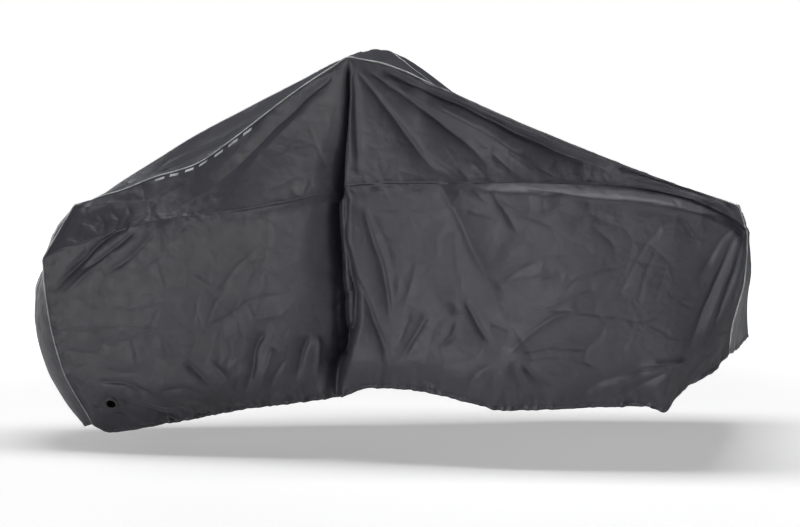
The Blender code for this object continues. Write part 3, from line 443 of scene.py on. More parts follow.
# How far the gusset's middle stands out from the straight line between its two seams. The path
# runs from the rear hem (-3) up to the side seam (-2), to the corner (-1), past the handlebar (0),
# to the front corner (1), the front side seam (2) and the front hem (3).
GUSSET_CROWN = (
    (-3, 55), (-2.8, 80), (-2.5, 95), (-2.2, 65), (-2, 14), (-1.5, 24), (-1, 0), (-0.55, -12),
    (-0.25, -20), (-0.06, -2), (0, 4), (0.06, -4), (0.3, -45), (0.6, -85), (0.85, -45), (1, -6),
    (2, 0), (2.4, 12), (3, 20),
)

# Materials: noises are size, detail and roughness; stops are position and colour
CLOTH_TONE = (0.160, 4.0, 0.55)
CLOTH_STOPS = ((0.30, (0.0258, 0.0254, 0.0340)), (0.72, (0.0335, 0.0340, 0.0440)))
CLOTH_GLOSS = (0.030, 3.0, 0.6)
CLOTH_ROUGHNESS = ((0.3, 0.7), (0.48, 0.58))
CLOTH_SOFT = (0.034, 2.0, 0.5, 0.8)  # with distortion
CLOTH_SOFT_HEIGHT = 0.0008
CLOTH_FACETS = ((0.105, 0.075), (0.042, 0.055))  # size and slope
FACET_WARP_SIZE, FACET_WARP, FACET_PATCH = 2, 0.8, 2.5  # in facets
FACET_SHARE = ((0.40, 0.62), (0.15, 1.0))  # from some noise, how much of a facet shows
WEAVE_PITCH, WEAVE_HEIGHT = 0.0007, 0.00003
PIPING_TONE = (0.045, 4.0, 0.6)
PIPING_STOPS = ((0.32, (0.26, 0.265, 0.275)), (0.62, (0.60, 0.61, 0.62)))
BEAD_SIZE, BEAD_HEIGHT, BEAD_STRENGTH = 0.0007, 0.0001, 0.6
THREAD_TONE = 0.004
THREAD_STOPS = ((0, (0.020, 0.020, 0.022)), (1, (0.050, 0.050, 0.054)))
EYELET_SCUFFS = (0.006, 5.0, 0.7)
EYELET_STOPS = ((0.45, (0.018, 0.018, 0.020)), (0.80, (0.050, 0.050, 0.053)))
EYELET_GLOSS = (0.003, 3.0)
EYELET_ROUGHNESS = ((0, 1), (0.28, 0.50))
GRAIN_SIZE, GRAIN_HEIGHT = 0.0006, 0.00003

# The stage
GROUND = -1.215  # the ground that the bicycle stands on
STAGE_REACH, STAGE_SIDES, DOME_ROWS, DOME_TOP = 20.0, 64, 20, 89  # the last in degrees
WHITE = (1.0, 1.0, 1.0, 1)
FLOOR_WHITE, FLOOR_GLOW = 0.9, 0.32
PAPER_TONE, PAPER_SHADE = 1.5, 0.98  # size of its patches, and the darker ones' share of white
SHADOW_POOL = (1.6, 4.2)  # from the first radius to the second, the floor's glow rises to white
FILL_STRENGTH = 0.03
FLAG = ((1.25, 5.0), 1.6, (-1.2, 0.6))  # x, y, z of a card that keeps the floor off the front end
LIGHTS = (  # place, what it is aimed at, width and height, power, spread in degrees
    ((-4.2, -4.8, -0.5), (0.0, 0.0, -0.65), (3.2, 2.6), 146, 180),
    ((-1.7, -6.2, 0.0), (1.20, -0.4, -0.70), (1.4, 1.4), 3.7, 27),
    ((1.9, -6.0, 0.0), (0.8, 0.0, -0.65), (2.4, 2.0), 9, 180),
    ((0.1, -0.1, 2.9), (0.1, -0.2, -0.6), (3.8, 1.3), 130, 180),
    ((-1.7, -3.5, -1.15), (-0.3, -0.2, -0.95), (4.0, 0.7), 3.4, 180),
    ((-3.4, 4.8, -0.2), (-0.2, 0.0, -0.6), (2.4, 2.2), 70, 180),
    ((5.6, 3.0, -0.1), (0.6, 0.1, -0.6), (2.2, 2.0), 60, 180),
)
CAMERA_AIM = (0.10, 0.0, -0.65)
CAMERA_TURN = 3.0  # degrees from straight at the near side, towards the front
CAMERA_RISE = 6.0
CAMERA_DISTANCE = 8.0
CAMERA_LENS, CAMERA_SENSOR = 116.1, 36.0  # millimetres


# Grids of points


def through(knots, values, at):
    """Reads a smooth curve through the knots, which never overshoots them, at some places."""
    knots, at, values = (np.asarray(numbers, float) for numbers in (knots, at, values))
    shape = values.shape[1:]
    values = values.reshape(len(knots), -1)
    step = np.diff(knots)[:, None]
    rise = np.diff(values, axis=0) / step
    slope = np.zeros_like(values)
    slope[0], slope[-1] = rise[0], rise[-1]
    product = rise[:-1] * rise[1:]
    same_way = product > 0
    slope[1:-1] = 2 * np.where(same_way, product, 0) / np.where(same_way, rise[:-1] + rise[1:], 1)
    k = np.clip(np.searchsorted(knots, at, side="right") - 1, 0, len(knots) - 2)
    h = step[k]
    t = (at[:, None] - knots[k][:, None]) / h
    read = (
        (2 * t**3 - 3 * t**2 + 1) * values[k]
        + (t**3 - 2 * t**2 + t) * h * slope[k]
        + (3 * t**2 - 2 * t**3) * values[k + 1]
        + (t**3 - t**2) * h * slope[k + 1]
    )
    return read.reshape(len(at), *shape)


def smooth_step(x):
    x = np.clip(x, 0, 1)
    return x * x * (3 - 2 * x)


def bell(distance, width):
    return np.exp(-((distance / width) ** 2))


def unit(vectors):
    return vectors / np.maximum(np.linalg.norm(vectors, axis=-1, keepdims=True), 1e-12)


def columns(at, places, points):
    """Points read along a line at other places, one coordinate at a time."""
    return np.column_stack([np.interp(at, places, points[:, k]) for k in range(3)])


def uneven(points, size, seed=0.0):
    """Smooth noise, about -1 to 1, with features of a given size."""
    places = (np.asarray(points).reshape(-1, 3) / size + seed).tolist()
    return np.array([noise.noise(place) for place in places]).reshape(np.shape(points)[:-1])


def lengths_along(grid, axis):
    """How far each point lies from the first row (axis 0) or column (axis 1), along the cloth."""
    step = np.linalg.norm(np.diff(grid, axis=axis), axis=2)
    start = np.zeros_like(step.take([0], axis=axis))
    return np.concatenate([start, step.cumsum(axis=axis)], axis=axis)


def shares(length, cell=CELL):
    """Places along a length, a cell apart and closer near both ends, as shares of it."""
    fine = np.array(FINE_STEPS) / length
    count = int(round((1 - 2 * fine[-1]) * length / cell))
    between = np.linspace(fine[-1], 1 - fine[-1], count + 1)[1:-1]
    return np.concatenate([fine, between, 1 - fine[::-1]])


def along_rail(rail, at):
    """A rail's points: at is -1 at the rear end, 0 below the handlebar's end and 1 at the front."""
    bar, rows = rail[0] / MM, np.array(rail[1]) / MM
    x = bar + np.where(at < 0, at * (bar - rows[0, 0]), at * (rows[-1, 0] - bar))
    return np.column_stack([x, through(rows[:, 0], rows[:, 1:], x)])


def top_edge(rail, seam, at, inward):
    """The shoulder, where the cloth rolls over, and the piping that lies inside it."""
    read = along_rail(rail, at)
    edge, roll = read[:, :3], np.maximum(read[:, 3:], 0)
    run = unit(np.gradient(edge, axis=0))
    away = unit(np.column_stack([-run[:, 2], np.zeros(len(at)), run[:, 0]]))
    piping = edge + roll * (np.array([0, inward, 0]) - ROLL_DROP * away)
    rolled = np.minimum(roll / FULL_ROLL, 1) * smooth_step((1 - np.abs(at)) / ROLL_END)[:, None]
    way = unit((1 - rolled) * unit(seam - piping) + rolled * unit(edge - piping))
    distance = np.linalg.norm(edge - piping, axis=1, keepdims=True)
    return piping + way * np.maximum(distance, LEAST_SHOULDER), piping


def outward_normals(grid, outward):
    """One normal for each point, away from the bicycle; outward is -1 on the near side."""
    one_way = grid[1:, 1:] - grid[:-1, :-1]
    other_way = grid[1:, :-1] - grid[:-1, 1:]
    cell = np.pad(unit(np.cross(one_way, other_way)), ((1, 1), (1, 1), (0, 0)))
    return -outward * unit(cell[:-1, :-1] + cell[1:, :-1] + cell[:-1, 1:] + cell[1:, 1:])


# Folds and unevenness


def in_metres(folds):
    """The rows of a table of folds, in metres, each with its points in one array."""
    for depth, root, end, lean, power, *line in folds:
        yield depth / MM, root / MM, end / MM, lean, power, np.array(line) / MM


def fold_depths(x, z, folds):
    """How far each point stands out of the smooth shape, with the folds drawn in x and z."""
    depths = np.zeros(x.shape)
    for depth, root, end, lean, power, line in folds:
        reach = FOLD_REACH * max(root, end) * (1 + abs(lean))
        low, high = line.min(0) - reach, line.max(0) + reach
        near = (x > low[0]) & (x < high[0]) & (z > low[1]) & (z < high[1])
        if not near.any():
            continue
        knots = np.concatenate([[0], np.hypot(*np.diff(line, axis=0).T).cumsum()])
        whole = knots[-1]
        if power > ANGULAR:
            line = through(knots, line, np.linspace(0, whole, ROUND_POINTS * len(line)))
        off, side, along = nearest_on(line, np.column_stack([x[near], z[near]]))
        width = root + along / whole * (end - root)
        fade = smooth_step(along / min(FOLD_START, whole * FOLD_START_SHARE))
        fade *= smooth_step((whole - along) / (FOLD_END_SHARE * whole)) * width / max(root, end)
        width *= 1 + lean * np.sign(side)
        far = off / width
        section = np.exp(-(far**power)) * smooth_step((FOLD_REACH - far) / SECTION_FADE)
        depths[near] += depth * fade * section
    return depths


def nearest_on(line, points):
    """For each point: distance to the line, on which side it is, and how far along the line."""
    off = np.full(len(points), np.inf)
    side = np.zeros(len(points))
    along = np.zeros(len(points))
    start = 0.0
    for a, b in zip(line[:-1], line[1:]):
        length = np.hypot(*(b - a))
        run = (b - a) / length
        t = np.clip((points - a) @ run, 0, length)
        away = points - a - t[:, None] * run
        distance = np.hypot(*away.T)
        closer = distance < off
        off = np.where(closer, distance, off)
        side = np.where(closer, away[:, 0] * run[1] - away[:, 1] * run[0], side)
        along = np.where(closer, start + t, along)
        start += length
    return off, side, along


def small_creases(seed, low, high):
    """Short, shallow creases in all directions within a rectangle."""
    draw = np.random.default_rng(seed)
    for _ in range(SMALL_CREASES):
        start = draw.uniform(low, high)
        length = draw.uniform(*SMALL_LENGTH)
        turn = draw.uniform(0, 2 * np.pi)
        bend = draw.uniform(-SMALL_TURN, SMALL_TURN, 2)
        points = [start]
        for angle in (turn, turn + bend[0], turn + bend.sum()):
            points.append(points[-1] + length / 3 * np.array([np.cos(angle), np.sin(angle)]))
        depth = draw.uniform(*SMALL_DEPTH) * draw.choice([-1, -1, 1])  # most are dents
        width = draw.uniform(*SMALL_WIDTH)
        lean = draw.uniform(-SMALL_TURN, SMALL_TURN)
        yield depth, width, width, lean, SMALL_POWER, np.array(points)


def all_folds(grid, x, z, folds, area, seed):
    """The drawn folds, the small creases and the crumpling of one grid."""
    size, far = WANDER
    x, z = (
        places + far * uneven(grid, size, seed + shift) for places, shift in ((x, 0), (z, 31))
    )
    creases = small_creases(int(seed), *area)
    crumple = sum(height * uneven(grid, size, seed + size) for size, height in CRUMPLE)
    return fold_depths(x, z, in_metres(folds)) + fold_depths(x, z, creases) + crumple


def ripples(points, distance, seed, bands):
    """Ripples that run away from an edge and die out."""
    return sum(
        height * uneven(points, size, seed + shift) * np.exp(-distance / reach)
        for size, reach, height, shift in bands
    )


def patches(points, seed, kind):
    """How strong the ripples are, from place to place."""
    mean, swing, size, shift = kind
    return mean + swing * uneven(points, size, seed + shift)


def puckers(grid, distance, seed):
    """Where stitching draws the cloth in: short ripples."""
    start = 1 - np.exp(-distance / PUCKER_START)
    return ripples(grid, distance, seed, PUCKERS) * patches(grid, seed, PUCKER_PATCHES) * start


def hem_gathers(grid, up, seed):
    """The elastic in the hem draws the cloth into short pleats and longer waves."""
    x = grid[:, :, 0]
    height, length, reach = HEM_WAVE
    drift, pace = HEM_WAVE_DRIFT
    wave = height * np.sin(2 * np.pi * x / length + drift * np.sin(pace * x)) * bell(up, reach)
    strength = np.clip(patches(grid * (1, 0, 0), seed, PLEAT_PATCHES), *PLEAT_LIMITS)
    return wave + ripples(grid * HEM_SQUEEZE, up, seed, HEM_PLEATS) * strength


def dent(distance, depth_and_width):
    depth, width = depth_and_width
    return depth * bell(distance, width)


def seam_relief(above, up):
    """The doubled cloth over the side seam, its groove, and the dents of the two stitch lines."""
    band = smooth_step(above / BAND_RISE)
    band *= 1 - smooth_step((above - SEAM_BAND + BAND_FALL_START) / BAND_FALL)
    relief = SEAM_RISE * (band - bell(above, SEAM_GROOVE))
    return relief - dent(above - SEAM_STITCH, SEAM_DENT) - dent(up - HEM_STITCH, HEM_DENT)


def seated(grid, middle, axis):
    """Lays the cloth flat round an eyelet."""
    away = grid - middle
    height = away @ axis
    distance = np.linalg.norm(away - height[:, :, None] * axis, axis=2)
    flat = 1 - smooth_step((distance - EYELET_FLAT) / EYELET_EASE)
    return grid - (flat * height)[:, :, None] * axis


def eyelet_place(node):
    """The middle and the axis of a CAD eyelet, pointing out of the cloth."""
    points = np.array([corner.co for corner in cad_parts[node].data.vertices])
    middle = (points.min(0) + points.max(0)) / 2
    axis = np.linalg.svd(points - points.mean(0), full_matrices=False)[2][2]
    return middle, axis * np.sign(axis[1]) * np.sign(middle[1])


# The sheets


def side_shape(rails, outward, cell):
    """The smooth grid of one side from hem to piping, the row of its side seam, and its columns."""
    at = 2 * shares(SIDE_LENGTH, cell) - 1
    rail = {name: along_rail(rails[name], at) for name in ("hem", "skirt", "belly", "rim", "seam")}
    shoulder, piping = top_edge(rails["top"], rail["seam"], at, -outward)
    lower = through(LOWER_KNOTS, list(rail.values()), shares(LOWER_HEIGHT, cell))
    run = shoulder - rail["seam"]
    height = np.linalg.norm(run, axis=1, keepdims=True)
    turn = shoulder - run / height * np.minimum(SHOULDER_ROUND, height / 3)
    taut = [rail["seam"] + t * (turn - rail["seam"]) for t in shares(UPPER_HEIGHT, cell)[1:]]
    curl = [(1 - t) ** 2 * turn + 2 * t * (1 - t) * shoulder + t**2 * piping for t in CURL]
    return np.concatenate([lower, taut, curl]), len(lower) - 1, at


def side_grids(rails, folds, outward, seed, eyelet, cell):
    """The dense lower and upper sheet of one side, and the line of its piping."""
    grid, seam, at = side_shape(rails, outward, cell)
    normals = outward_normals(grid, outward)
    up, forward = lengths_along(grid, 0), lengths_along(grid, 1)
    from_top = up[-1] - up
    from_ends = np.minimum(forward, forward[:, -1:] - forward)
    from_piping = np.minimum(from_top, from_ends)

    depths = all_folds(grid, grid[:, :, 0], grid[:, :, 2], folds, SIDE_AREA, seed)
    depths *= smooth_step(from_ends / FOLD_FADE) * smooth_step(from_top / FOLD_FADE)
    depths *= HEM_SLACK + (1 - HEM_SLACK) * smooth_step(up / HEM_REACH)
    depths += puckers(grid, np.abs(up - up[seam]), seed) + puckers(grid, from_piping, seed + 3)
    depths += hem_gathers(grid, up, seed) + seam_relief(up - up[seam], up)
    depths *= smooth_step(from_piping / EDGE_HOLD)
    normals[:, :, 2] *= smooth_step(up / HEM_LEVEL)
    grid = seated(grid + unit(normals) * depths[:, :, None], *eyelet)
    return grid[: seam + 1], grid[seam:], piping_line(grid, up, seam, at)


def piping_line(grid, up, seam, at):
    """The piped seam's points, and their places: -3 rear hem, -1 and 1 corners, 3 front hem."""
    places = []
    for column in (0, -1):
        low = up[:seam, column] / up[seam, column] - 3
        high = (up[seam:-1, column] - up[seam, column]) / (up[-1, column] - up[seam, column]) - 2
        places.append(np.concatenate([low, high]))
    line = np.concatenate([grid[:, 0], grid[-1, 1:-1], grid[::-1, -1]])
    return line, np.concatenate([places[0], at, -places[1][::-1]])


def gusset_grid(near_line, far_line, seed):
    """The dense sheet between the piped seams: rows run near to far, columns rear to front."""
    across = shares(GUSSET_WIDTH)[:, None, None]
    places, near, far = even_pair(near_line, far_line)
    run = unit(np.gradient((near + far) / 2, axis=0))
    out = unit(np.cross(run, far - near))
    rows = np.array(GUSSET_CROWN)
    crown = through(rows[:, 0], rows[:, 1] / MM, places)[:, None]
    grid = near + across * (far - near) + 4 * across * (1 - across) * (crown * out)
    normals = outward_normals(grid, -1)

    along, over = lengths_along(grid, 1), lengths_along(grid, 0)
    middle = along[len(grid) // 2]
    s = np.broadcast_to(middle - middle[np.abs(places).argmin()], along.shape)
    from_hem = np.minimum(along, along[:, -1:] - along)
    from_piping = np.minimum(over, over[-1:] - over)
    depths = all_folds(grid, s, over - over[-1:] / 2, GUSSET_FOLDS, GUSSET_AREA, seed)
    depths *= smooth_step(from_piping / FOLD_FADE)
    depths += puckers(grid, from_piping, seed + 3)
    depths += ripples(grid * GUSSET_SQUEEZE, from_hem, seed, GUSSET_PLEATS)
    depths -= dent(from_hem - HEM_STITCH, GUSSET_DENT)
    depths *= smooth_step(from_piping / EDGE_HOLD)
    return grid + normals * depths[:, :, None]


def even_pair(near_line, far_line):
    """Matching points on both piped seams, one at each corner, and their places."""
    length = run_lengths(near_line[0])
    wanted = np.interp(shares(length[-1]) * length[-1], length, near_line[1])
    wanted = np.sort(np.concatenate([wanted, (-1, 1)]))
    return wanted, *(columns(wanted, places, line) for line, places in (near_line, far_line))


def run_lengths(line):
    return np.concatenate([[0], np.linalg.norm(np.diff(line, axis=0), axis=1).cumsum()])


def with_hem(grid, outward):
    """Adds the turned edge below the first row of a grid, and the cloth folded up inside."""
    normal = outward_normals(grid, outward)[0]
    up = unit(grid[3] - grid[0])
    middle = grid[0] - HEM_ROLL * normal
    inside = grid[0] - 2 * HEM_ROLL * normal
    rows = [inside + height * up for height in reversed(HEM_INSIDE)]
    for angle in np.radians(HEM_TURN):
        rows.append(middle + HEM_ROLL * (np.cos(angle) * normal - np.sin(angle) * up))
    return np.concatenate([rows, grid])


def hemmed_both_ends(grid):
    """Turned hems at both ends of the gusset."""
    across = with_hem(grid.swapaxes(0, 1), 1)
    return with_hem(across[::-1], -1)[::-1].swapaxes(0, 1)


def ends_moved_in(grid, *edges):
    """Ends the cloth a little short of the middle of the piping, at the edges named."""
    grid = grid.copy()
    pairs = {
        "first": (grid[0], grid[1]),
        "last": (grid[-1], grid[-2]),
        "rear": (grid[:, 0], grid[:, 1]),
        "front": (grid[:, -1], grid[:, -2]),
    }
    for edge, inner in (pairs[name] for name in edges):
        edge += EDGE_IN_PIPING * unit(inner - edge)
    return grid


# Meshes


def new_object(name, points, faces, material, uv=None):
    data = bpy.data.meshes.new(name)
    data.from_pydata(np.asarray(points).tolist(), [], faces)
    data.materials.append(material)
    if uv is not None:
        layer = data.uv_layers.new(name="cloth")
        corners = np.empty(len(data.loops), np.int32)
        data.loops.foreach_get("vertex_index", corners)
        layer.data.foreach_set("uv", np.asarray(uv, np.float32)[corners].ravel())
    data.shade_smooth()
    data.validate()
    data.update()
    piece = bpy.data.objects.new(name, data)
    bpy.context.scene.collection.objects.link(piece)
    return piece


def grid_faces(rows, cols, close=False, flip=False):
    index = np.arange(rows * cols).reshape(rows, cols)
    if close:
        index = np.column_stack([index, index[:, :1]])
    quads = np.stack([index[:-1, :-1], index[:-1, 1:], index[1:, 1:], index[1:, :-1]], axis=-1)
    quads = quads.reshape(-1, 4)
    return quads[:, ::-1] if flip else quads


def sheet(name, grid, material, outward, hole=None):
    """A sheet of cloth from its grid, with its flat places in metres as its UV."""
    u, v = lengths_along(grid, 1).mean(0), lengths_along(grid, 0).mean(1)
    uv = np.stack(np.broadcast_arrays(u[None, :], v[:, None]), axis=-1).reshape(-1, 2)
    faces = grid_faces(*grid.shape[:2], flip=outward > 0)
    points = grid.reshape(-1, 3).copy()
    if hole is not None:
        points, faces = cut_hole(points, faces, *hole)
    return new_object(name, points, faces.tolist(), material, uv)


def cut_hole(points, faces, middle, axis, radius):
    """Opens a round hole: drops the faces inside it and moves the rim's corners onto the circle."""
    away = points - middle
    away -= (away @ axis)[:, None] * axis
    distance = np.linalg.norm(away, axis=1)
    close = np.linalg.norm(points - middle, axis=1) < HOLE_LOOK * radius
    inside = (close & (distance < radius))[faces].any(1)
    kept = faces[~inside]
    rim = np.intersect1d(kept, faces[inside])
    points[rim] += away[rim] * (radius / distance[rim] - 1)[:, None]
    return points, kept


def tube_rings(line, radius, sides):
    """The rings of a round tube along a line of points."""
    tangent = unit(np.gradient(line, axis=0))
    frames = [unit(np.cross(tangent[0], (0.3, 1.0, 0.2)))]  # any way that isn't along the seam
    for t in tangent[1:]:
        frames.append(unit(frames[-1] - (frames[-1] @ t) * t))
    first = np.array(frames)[:, None]
    second = np.cross(tangent, np.array(frames))[:, None]
    turn = (2 * np.pi * np.arange(sides) / sides)[None, :, None]
    return line[:, None] + radius * (np.cos(turn) * first + np.sin(turn) * second)


def piping(name, line, material):
    """Piping in reflective tape, sewn into a seam."""
    length = run_lengths(line)
    even = np.linspace(0, length[-1], int(length[-1] / PIPING_STEP))
    smooth = columns(even, length, line)
    for _ in range(PIPING_SMOOTHINGS):
        smooth[1:-1] = (smooth[:-2] + 2 * smooth[1:-1] + smooth[2:]) / 4
    rings = tube_rings(smooth, PIPING_RADIUS, PIPING_SIDES)
    rows, sides = rings.shape[:2]
    faces = grid_faces(rows, sides, close=True).tolist()
    faces += [list(range(sides))[::-1], list(range((rows - 1) * sides, rows * sides))]
    v = np.tile(np.arange(sides) / sides * 2 * np.pi * PIPING_RADIUS, rows)
    uv = np.column_stack([np.repeat(even, sides), v])
    return new_object(name, rings.reshape(-1, 3), faces, material, uv)


def at_height(grid, height, axis=0, from_end=False):
    """The line on the cloth at a distance from its first or last row (or column, axis 1)."""
    if axis == 1:
        grid = grid.swapaxes(0, 1)
    if from_end:
        grid = grid[::-1]
    up = lengths_along(grid, 0)
    k = np.clip((up <= height).sum(0) - 1, 0, len(grid) - 2)
    col = np.arange(grid.shape[1])
    t = (height - up[k, col]) / (up[k + 1, col] - up[k, col])
    return grid[k, col] + t[:, None] * (grid[k + 1, col] - grid[k, col])


def stitches(name, rows, outward, material):
    """Rows of thread stitches: each row is a grid, a distance from its edge, and which edge."""
    points, faces = [], []
    for grid, distance, axis, from_end in rows:
        line = at_height(grid, distance, axis, from_end)
        lifted = grid + PROBE * outward_normals(grid, outward)
        lifted = at_height(lifted, distance, axis, from_end)
        length = run_lengths(line)
        middles = np.arange(STITCH_PITCH / 2, length[-1] - STITCH_PITCH / 2, STITCH_PITCH)
        place = columns(middles, length, line)
        out = unit(columns(middles, length, unit(lifted - line)))
        along = unit(np.gradient(place, axis=0))
        for p, n, a, c in zip(place, out, along, np.cross(along, out)):
            add_stitch(points, faces, p + STITCH_LIFT * n, n, a, c)
    return new_object(name, points, faces, material)


def add_stitch(points, faces, middle, out, along, across):
    """A spindle, half sunk in the cloth."""
    first = len(points)
    points.append(middle - STITCH_LENGTH / 2 * along)
    for place in (-STITCH_SHOULDER, STITCH_SHOULDER):
        centre = middle + place * STITCH_LENGTH * along
        points.extend(centre + STITCH_RADIUS * way for way in (out, across, -out, -across))
    points.append(middle + STITCH_LENGTH / 2 * along)
    for k in range(4):
        a, b = first + 1 + k, first + 1 + (k + 1) % 4
        faces.extend([(first, b, a), (a, b, b + 4, a + 4), (a + 4, b + 4, first + 9)])


def lathe(name, section, steps, middle, axis, material):
    """A ring turned from its section, of radius and height, about an axis."""
    side = unit(np.cross(axis, (1.0, 0.0, 0.0)))
    other = np.cross(axis, side)
    turns = 2 * np.pi * np.arange(steps) / steps
    points = [
        middle + r * (np.cos(a) * side + np.sin(a) * other) + h * axis
        for a in turns
        for r, h in section
    ]
    count = len(section)
    faces = []
    for step in range(steps):
        here, following = step * count, (step + 1) % steps * count
        for k in range(count):
            m = (k + 1) % count
            faces.append((here + k, here + m, following + m, following + k))
    return new_object(name, points, faces, material)


def eyelet_section():
    """The section of an eyelet: a domed flange outside, a barrel, and a washer inside."""
    hole, collar, flange = EYELET_HOLE, EYELET_COLLAR, EYELET_FLANGE
    lip = [
        (hole + 0.0020 * (1 - np.cos(a)), 0.0016 + 0.0018 * np.sin(a))
        for a in np.linspace(0, np.pi / 2, LIP_POINTS)
    ]
    dome = [
        (
            collar + (flange - collar) * share,
            0.0009 + 0.0026 * np.sin(np.pi * (0.12 + 0.88 * share)) ** 0.7,
        )
        for share in np.linspace(0, 0.985, DOME_POINTS)[1:]
    ]
    rim = [(flange, 0.0006), (collar, 0.0006), (collar, -0.0009)]
    washer = [(0.0208, -0.0009), (0.0200, -0.0024), (hole + 0.0008, -0.0026), (hole, -0.0018)]
    return lip + dome + rim + washer


# Materials


def add_node(tree, kind, settings=None, **inputs):
    node = tree.nodes.new(kind)
    for name, value in (settings or {}).items():
        setattr(node, name, value)
    for name, value in inputs.items():
        socket = node.inputs[int(name[1:]) if name[0] == "_" else name.replace("_", " ")]
        if isinstance(value, bpy.types.NodeSocket):
            tree.links.new(value, socket)
        else:
            socket.default_value = value
    return node


def math(tree, operation, *values):
    inputs = {f"_{k}": value for k, value in enumerate(values)}
    return add_node(tree, "ShaderNodeMath", {"operation": operation}, **inputs).outputs[0]


def map_range(tree, value, source, target, settings=None):
    node = add_node(
        tree, "ShaderNodeMapRange", settings, Value=value,
        From_Min=source[0], From_Max=source[1], To_Min=target[0], To_Max=target[1],
    )
    return node.outputs[0]


def new_material(name, **constants):
    """A material, with constants on its shader's own sockets; also the places on its object."""
    material = bpy.data.materials.new(name)
    material.use_nodes = True
    tree = material.node_tree
    shader = tree.nodes["Principled BSDF"]
    for socket, value in constants.items():
        shader.inputs[socket.replace("_", " ")].default_value = value
    return material, tree, shader, add_node(tree, "ShaderNodeTexCoord").outputs["Object"]


def paint(tree, shader, tone, stops):
    """Base colour between two stops, by a tone from 0 to 1."""
    ramp = add_node(tree, "ShaderNodeValToRGB", Fac=tone)
    for element, (position, colour) in zip(ramp.color_ramp.elements, stops):
        element.position = position
        element.color = (*colour, 1)
    tree.links.new(ramp.outputs[0], shader.inputs["Base Color"])


def raise_face(tree, shader, height, strength=1.0):
    bump = add_node(tree, "ShaderNodeBump", Strength=strength, Distance=1.0, Height=height)
    tree.links.new(bump.outputs[0], shader.inputs["Normal"])


def fine_noise(tree, place, size, detail=2.0, roughness=0.5, distortion=0.0):
    node = add_node(
        tree, "ShaderNodeTexNoise", Vector=place, Scale=1 / size, Detail=detail,
        Roughness=roughness, Distortion=distortion,
    )
    return node.outputs["Fac"]


def facets(tree, place, size, slope):
    """Flat faces between straight creases, as in cloth that was folded small and opened again."""
    warp = add_node(
        tree, "ShaderNodeTexNoise", Vector=place, Scale=1 / (FACET_WARP_SIZE * size), Detail=1.0
    )
    offset = add_node(
        tree, "ShaderNodeVectorMath", {"operation": "SCALE"},
        _0=warp.outputs["Color"], Scale=FACET_WARP * size,
    )
    moved = add_node(
        tree, "ShaderNodeVectorMath", {"operation": "ADD"}, _0=place, _1=offset.outputs[0]
    )
    cells = add_node(
        tree, "ShaderNodeTexVoronoi", {"feature": "DISTANCE_TO_EDGE"},
        Vector=moved.outputs[0], Scale=1 / size,
    )
    some = map_range(tree, fine_noise(tree, place, FACET_PATCH * size, 1.0), *FACET_SHARE)
    depth = math(tree, "MULTIPLY", cells.outputs["Distance"], slope * size)
    return math(tree, "MULTIPLY", depth, some)


def weave_height(tree):
    """Plain weave in the cloth's own flat places: threads over and under each other."""
    uv = add_node(tree, "ShaderNodeUVMap", {"uv_map": "cloth"}).outputs[0]
    axes = add_node(tree, "ShaderNodeSeparateXYZ", Vector=uv)
    waves = [
        math(tree, "SINE", math(tree, "MULTIPLY", axes.outputs[axis], np.pi / WEAVE_PITCH))
        for axis in ("X", "Y")
    ]
    return math(tree, "MULTIPLY", math(tree, "MULTIPLY", *waves), WEAVE_HEIGHT)


def cloth_material():
    """Charcoal polyester, coated inside: a satin face, faint creases and a fine plain weave."""
    material, tree, shader, place = new_material(
        "cover_cloth", Metallic=0.0, Specular_IOR_Level=0.60, Sheen_Weight=0.04,
        Sheen_Roughness=0.45, Sheen_Tint=(0.80, 0.86, 0.95, 1.0), IOR=1.5,
    )
    paint(tree, shader, fine_noise(tree, place, *CLOTH_TONE), CLOTH_STOPS)
    gloss = map_range(tree, fine_noise(tree, place, *CLOTH_GLOSS), *CLOTH_ROUGHNESS)
    tree.links.new(gloss, shader.inputs["Roughness"])
    soft = math(tree, "MULTIPLY", fine_noise(tree, place, *CLOTH_SOFT), CLOTH_SOFT_HEIGHT)
    creased = math(tree, "SUBTRACT", *(facets(tree, place, *facet) for facet in CLOTH_FACETS))
    height = math(tree, "ADD", math(tree, "ADD", soft, creased), weave_height(tree))
    raise_face(tree, shader, height)
    return material


def piping_material():
    """Light grey reflective tape with a fine beaded face."""
    material, tree, shader, place = new_material(
        "reflective_piping", Metallic=0.0, Specular_IOR_Level=0.6, IOR=1.5, Coat_Weight=0.25,
        Coat_Roughness=0.25, Roughness=0.38,
    )
    paint(tree, shader, fine_noise(tree, place, *PIPING_TONE), PIPING_STOPS)
    beads = add_node(tree, "ShaderNodeTexVoronoi", Vector=place, Scale=1 / BEAD_SIZE)
    height = math(tree, "MULTIPLY", beads.outputs["Distance"], BEAD_HEIGHT)
    raise_face(tree, shader, height, BEAD_STRENGTH)
    return material


def thread_material():
    material, tree, shader, place = new_material("thread", Roughness=0.7, Specular_IOR_Level=0.3)
    paint(tree, shader, fine_noise(tree, place, THREAD_TONE), THREAD_STOPS)
    return material


def eyelet_material():
    """Moulded black plastic, with the faint grain of its mould and scuffs from a lock."""
    material, tree, shader, place = new_material(
        "eyelet_plastic", Metallic=0.0, Specular_IOR_Level=0.5, IOR=1.5
    )
    paint(tree, shader, fine_noise(tree, place, *EYELET_SCUFFS), EYELET_STOPS)
    gloss = map_range(tree, fine_noise(tree, place, *EYELET_GLOSS), *EYELET_ROUGHNESS)
    tree.links.new(gloss, shader.inputs["Roughness"])
    grain = math(tree, "MULTIPLY", fine_noise(tree, place, GRAIN_SIZE), GRAIN_HEIGHT)
    raise_face(tree, shader, grain)
    return material


